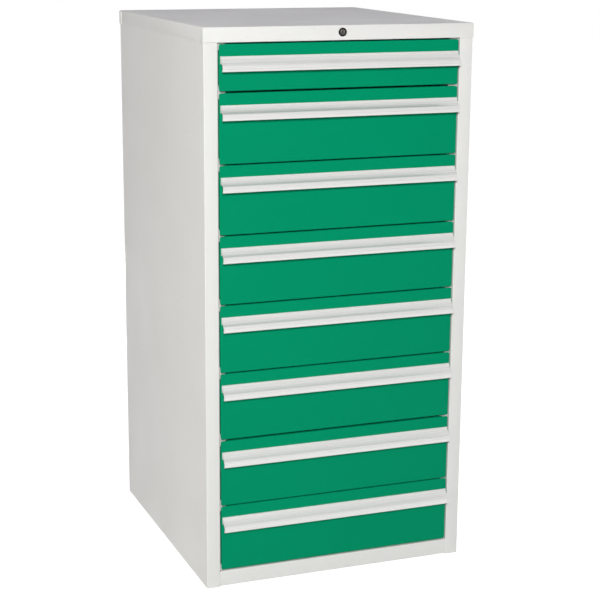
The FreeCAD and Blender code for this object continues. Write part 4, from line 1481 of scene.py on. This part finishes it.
@dataclass
class Lock:
    """Round cam lock in the fascia: a body with a rounded rim, and a plug with a keyway."""

    plan: Plan
    rim_radius: float = 9.0
    rim_height: float = 2.2
    barrel_radius: float = 8.0
    barrel_length: float = 16.0
    bore: float = 6.05
    plug_radius: float = 6.0
    plug_recess: float = 0.6
    plug_length: float = 17.0
    tail_radius: float = 3.5
    tail_length: float = 3.0
    key_width: float = 1.8
    key_height: float = 8.0
    key_depth: float = 9.0
    rim_round: float = 1.1
    chamfer: float = 0.5
    dish: float = 0.45
    dish_radii: Point = (3.6, 4.4)
    middle: float = 0.2
    steps: int = 64
    rim_edge: float = 0.1
    plug_edge: float = 0.08

    def centre(self) -> Place:
        """The middle of the lock on the fascia's face."""
        return (0.0, self.plan.front, self.plan.height - self.plan.lock_drop)

    def housing(self) -> Solid:
        """Turns the lock body with its rounded rim.

        Returns:
            The lock body.
        """
        rim, height, radius, length = self.rim_radius, self.rim_height, self.barrel_radius, self.barrel_length
        bend, inner = self.rim_round, self.bore
        crown = [(rim - bend + x, -height + bend - y) for x, y in arc((0.0, 0.0), bend, 90.0, 0.0, steps=6)]
        profile = [(inner, -height + self.chamfer), (inner + self.chamfer, -height), *crown]
        profile += [(rim, 0.0), (radius, 0.0), (radius, length), (inner, length)]
        body = Workpiece("lock_body_turned").collar(profile, self.centre(), Axis.Y, self.steps)
        return body.finish(self.rim_edge)

    def plug(self) -> Solid:
        """Turns the plug, dishes its face and cuts its keyway.

        Returns:
            The plug.
        """
        face = self.plug_recess - self.rim_height
        floor, end = face + self.dish, self.plug_length + self.tail_length
        radius, tail, middle = self.plug_radius, self.tail_radius, self.middle
        profile = [(middle, floor), (self.dish_radii[0], floor), (self.dish_radii[1], face)]
        profile += [(radius - self.chamfer, face), (radius, face + self.chamfer)]
        profile += [(radius, self.plug_length), (tail, self.plug_length), (tail, end), (middle, end)]
        plug = Workpiece("lock_plug_turned").turned(profile, self.centre(), Axis.Y, self.steps)
        x, y, z = self.centre()
        wide, high = self.key_width / 2.0, self.key_height / 2.0
        near, far = y + face - CLEAR, y + face + self.key_depth
        keyway = Workpiece("keyway").block((x - wide, near, z - high), (x + wide, far, z + high))
        return plug.finish(self.plug_edge, keyway)

    def build(self, hands: Assembler) -> None:
        """Builds the lock.

        Args:
            hands: What fits its pieces.
        """
        hands.fit(self.housing(), CARCASS_BODY, Finish.LOCK_CASE, "lock_housing")
        hands.fit(self.plug(), "lock_plug", Finish.LOCK_FACE, "lock_plug")


# Surroundings


@dataclass(frozen=True)
class SoftLamp:
    """A square lamp with a soft face."""

    name: str
    place: Place
    aim: Place
    size: float
    power: float
    colour: Colour

    def light(self) -> None:
        """Hangs the lamp and turns it to what it lights."""
        data = bpy.data.lights.new(self.name, "AREA")
        data.size = self.size
        data.energy = self.power
        data.color = self.colour
        lamp = hang(self.name, data)
        lamp.location = self.place
        lamp.rotation_mode = "QUATERNION"
        lamp.rotation_quaternion = (Vector(self.aim) - Vector(self.place)).to_track_quat("-Z", "Y")


@dataclass
class Studio:
    """Plain pale floor, soft lamps and the camera."""

    floor_reach: float = 14.0
    floor_paint: Colour = (0.6, 0.6, 0.6)
    floor_glow: float = 0.96
    floor_rough: float = 0.9
    ceiling_light: Colour = (0.12, 0.105, 0.15)
    wall_light: Colour = (0.08, 0.08, 0.075)
    horizon: Point = (0.05, 0.6)
    camera_place: Place = (-1.259, -3.35475, 1.403)
    yaw: float = 21.05
    pitch: float = -13.42
    roll: float = 0.39
    lens: float = 94.8
    sensor: float = 36.0
    clip: Point = (0.05, 100.0)
    lamps: tuple[SoftLamp, ...] = (
        SoftLamp("key", (-1.9, -5.0, 2.8), (0.0, -0.3, 0.7), 1.2, 240.0, (0.99, 1.0, 0.97)),
        SoftLamp("left", (-3.2, -0.5, 1.2), (-0.3, 0.0, 0.6), 1.2, 20.0, (1.0, 1.0, 0.9)),
        SoftLamp("right", (3.2, 0.0, 0.6), (0.3, 0.0, 0.6), 1.1, 30.0, (1.0, 1.0, 0.95)),
        SoftLamp("back", (0.5, 3.4, 0.6), (0.0, 0.3, 0.6), 1.1, 38.0, (1.0, 1.0, 0.95)),
    )

    def floor(self) -> None:
        """Lays the floor, which looks white to the camera and still takes the cabinet's shadow."""
        mesh = bpy.data.meshes.new("floor")
        form = bmesh.new()
        bmesh.ops.create_grid(form, x_segments=2, y_segments=2, size=self.floor_reach)
        form.to_mesh(mesh)
        form.free()
        slab = hang("floor", mesh)
        tree = NodeTree(bpy.data.materials.new("floor_paint"))
        tree.shader.inputs["Base Color"].default_value = (*self.floor_paint, 1.0)
        tree.shader.inputs["Roughness"].default_value = self.floor_rough
        tree.shader.inputs["Specular IOR Level"].default_value = 0.0
        glow = tree.add("ShaderNodeEmission", {"Color": (*WHITE, 1.0)})
        tree.join(tree.spread(tree.seen(), FULL, (0.0, self.floor_glow)), glow.inputs["Strength"])
        both = tree.add("ShaderNodeAddShader")
        tree.join(tree.shader.outputs["BSDF"], both.inputs[0])
        tree.join(glow.outputs["Emission"], both.inputs[1])
        tree.join(both.outputs["Shader"], tree.nodes["Material Output"].inputs["Surface"])
        mesh.materials.append(tree.owner)

    def room(self) -> None:
        """Fills the room with even light, and shows white to the camera and in reflections."""
        world = bpy.data.worlds.new("room")
        bpy.context.scene.world = world
        tree = NodeTree(world)
        where = tree.add("ShaderNodeTexCoord")
        split = tree.add("ShaderNodeSeparateXYZ")
        tree.join(where.outputs["Generated"], split.inputs["Vector"])
        height = tree.spread(split.outputs["Z"], self.horizon)
        light = tree.blend(height, self.wall_light, self.ceiling_light)
        colour = tree.blend(tree.seen(), light, WHITE)
        tree.join(colour, tree.nodes["Background"].inputs["Color"])

    def camera(self) -> None:
        """Sets the camera at the photograph's place."""
        data = bpy.data.cameras.new("camera")
        data.lens = self.lens
        data.sensor_width = self.sensor
        data.clip_start, data.clip_end = self.clip
        camera = hang("camera", data)
        turn = (
            Matrix.Rotation(-math.radians(self.yaw), 4, "Z")
            @ Matrix.Rotation(math.radians(90.0 + self.pitch), 4, "X")
            @ Matrix.Rotation(math.radians(self.roll), 4, "Z")
        )
        camera.matrix_world = Matrix.Translation(Vector(self.camera_place)) @ turn
        bpy.context.scene.camera = camera

    def build(self) -> None:
        """Builds the surroundings."""
        bpy.context.scene.view_settings.view_transform = "Standard"
        self.camera()
        self.room()
        self.floor()
        for lamp in self.lamps:
            lamp.light()
        log.info("studio: camera, floor and %d lamps", len(self.lamps))


def dress_nodes(shop: Paintshop) -> None:
    """Gives every sub-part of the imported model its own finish.

    Args:
        shop: Where the finishes come from.
    """
    for part in frame["record"]["subparts"]:
        shop.paint(frame["nodes"][part["node"]].data, Finish(part["material_slot"]))
        log.info("%s: %s", part["node"], part["material_slot"])


def main() -> None:
    """Builds the studio and dresses the cabinet."""
    logging.basicConfig(level=logging.INFO, format="%(message)s")
    shop = Paintshop()
    hands = Assembler(shop)
    plan = Plan()
    Studio().build()
    dress_nodes(shop)
    Carcass(plan).build(hands)
    Drawers(plan).build(hands)
    Slides(plan).build(hands)
    Lock(plan).build(hands)


if __name__ == "__main__":
    main()
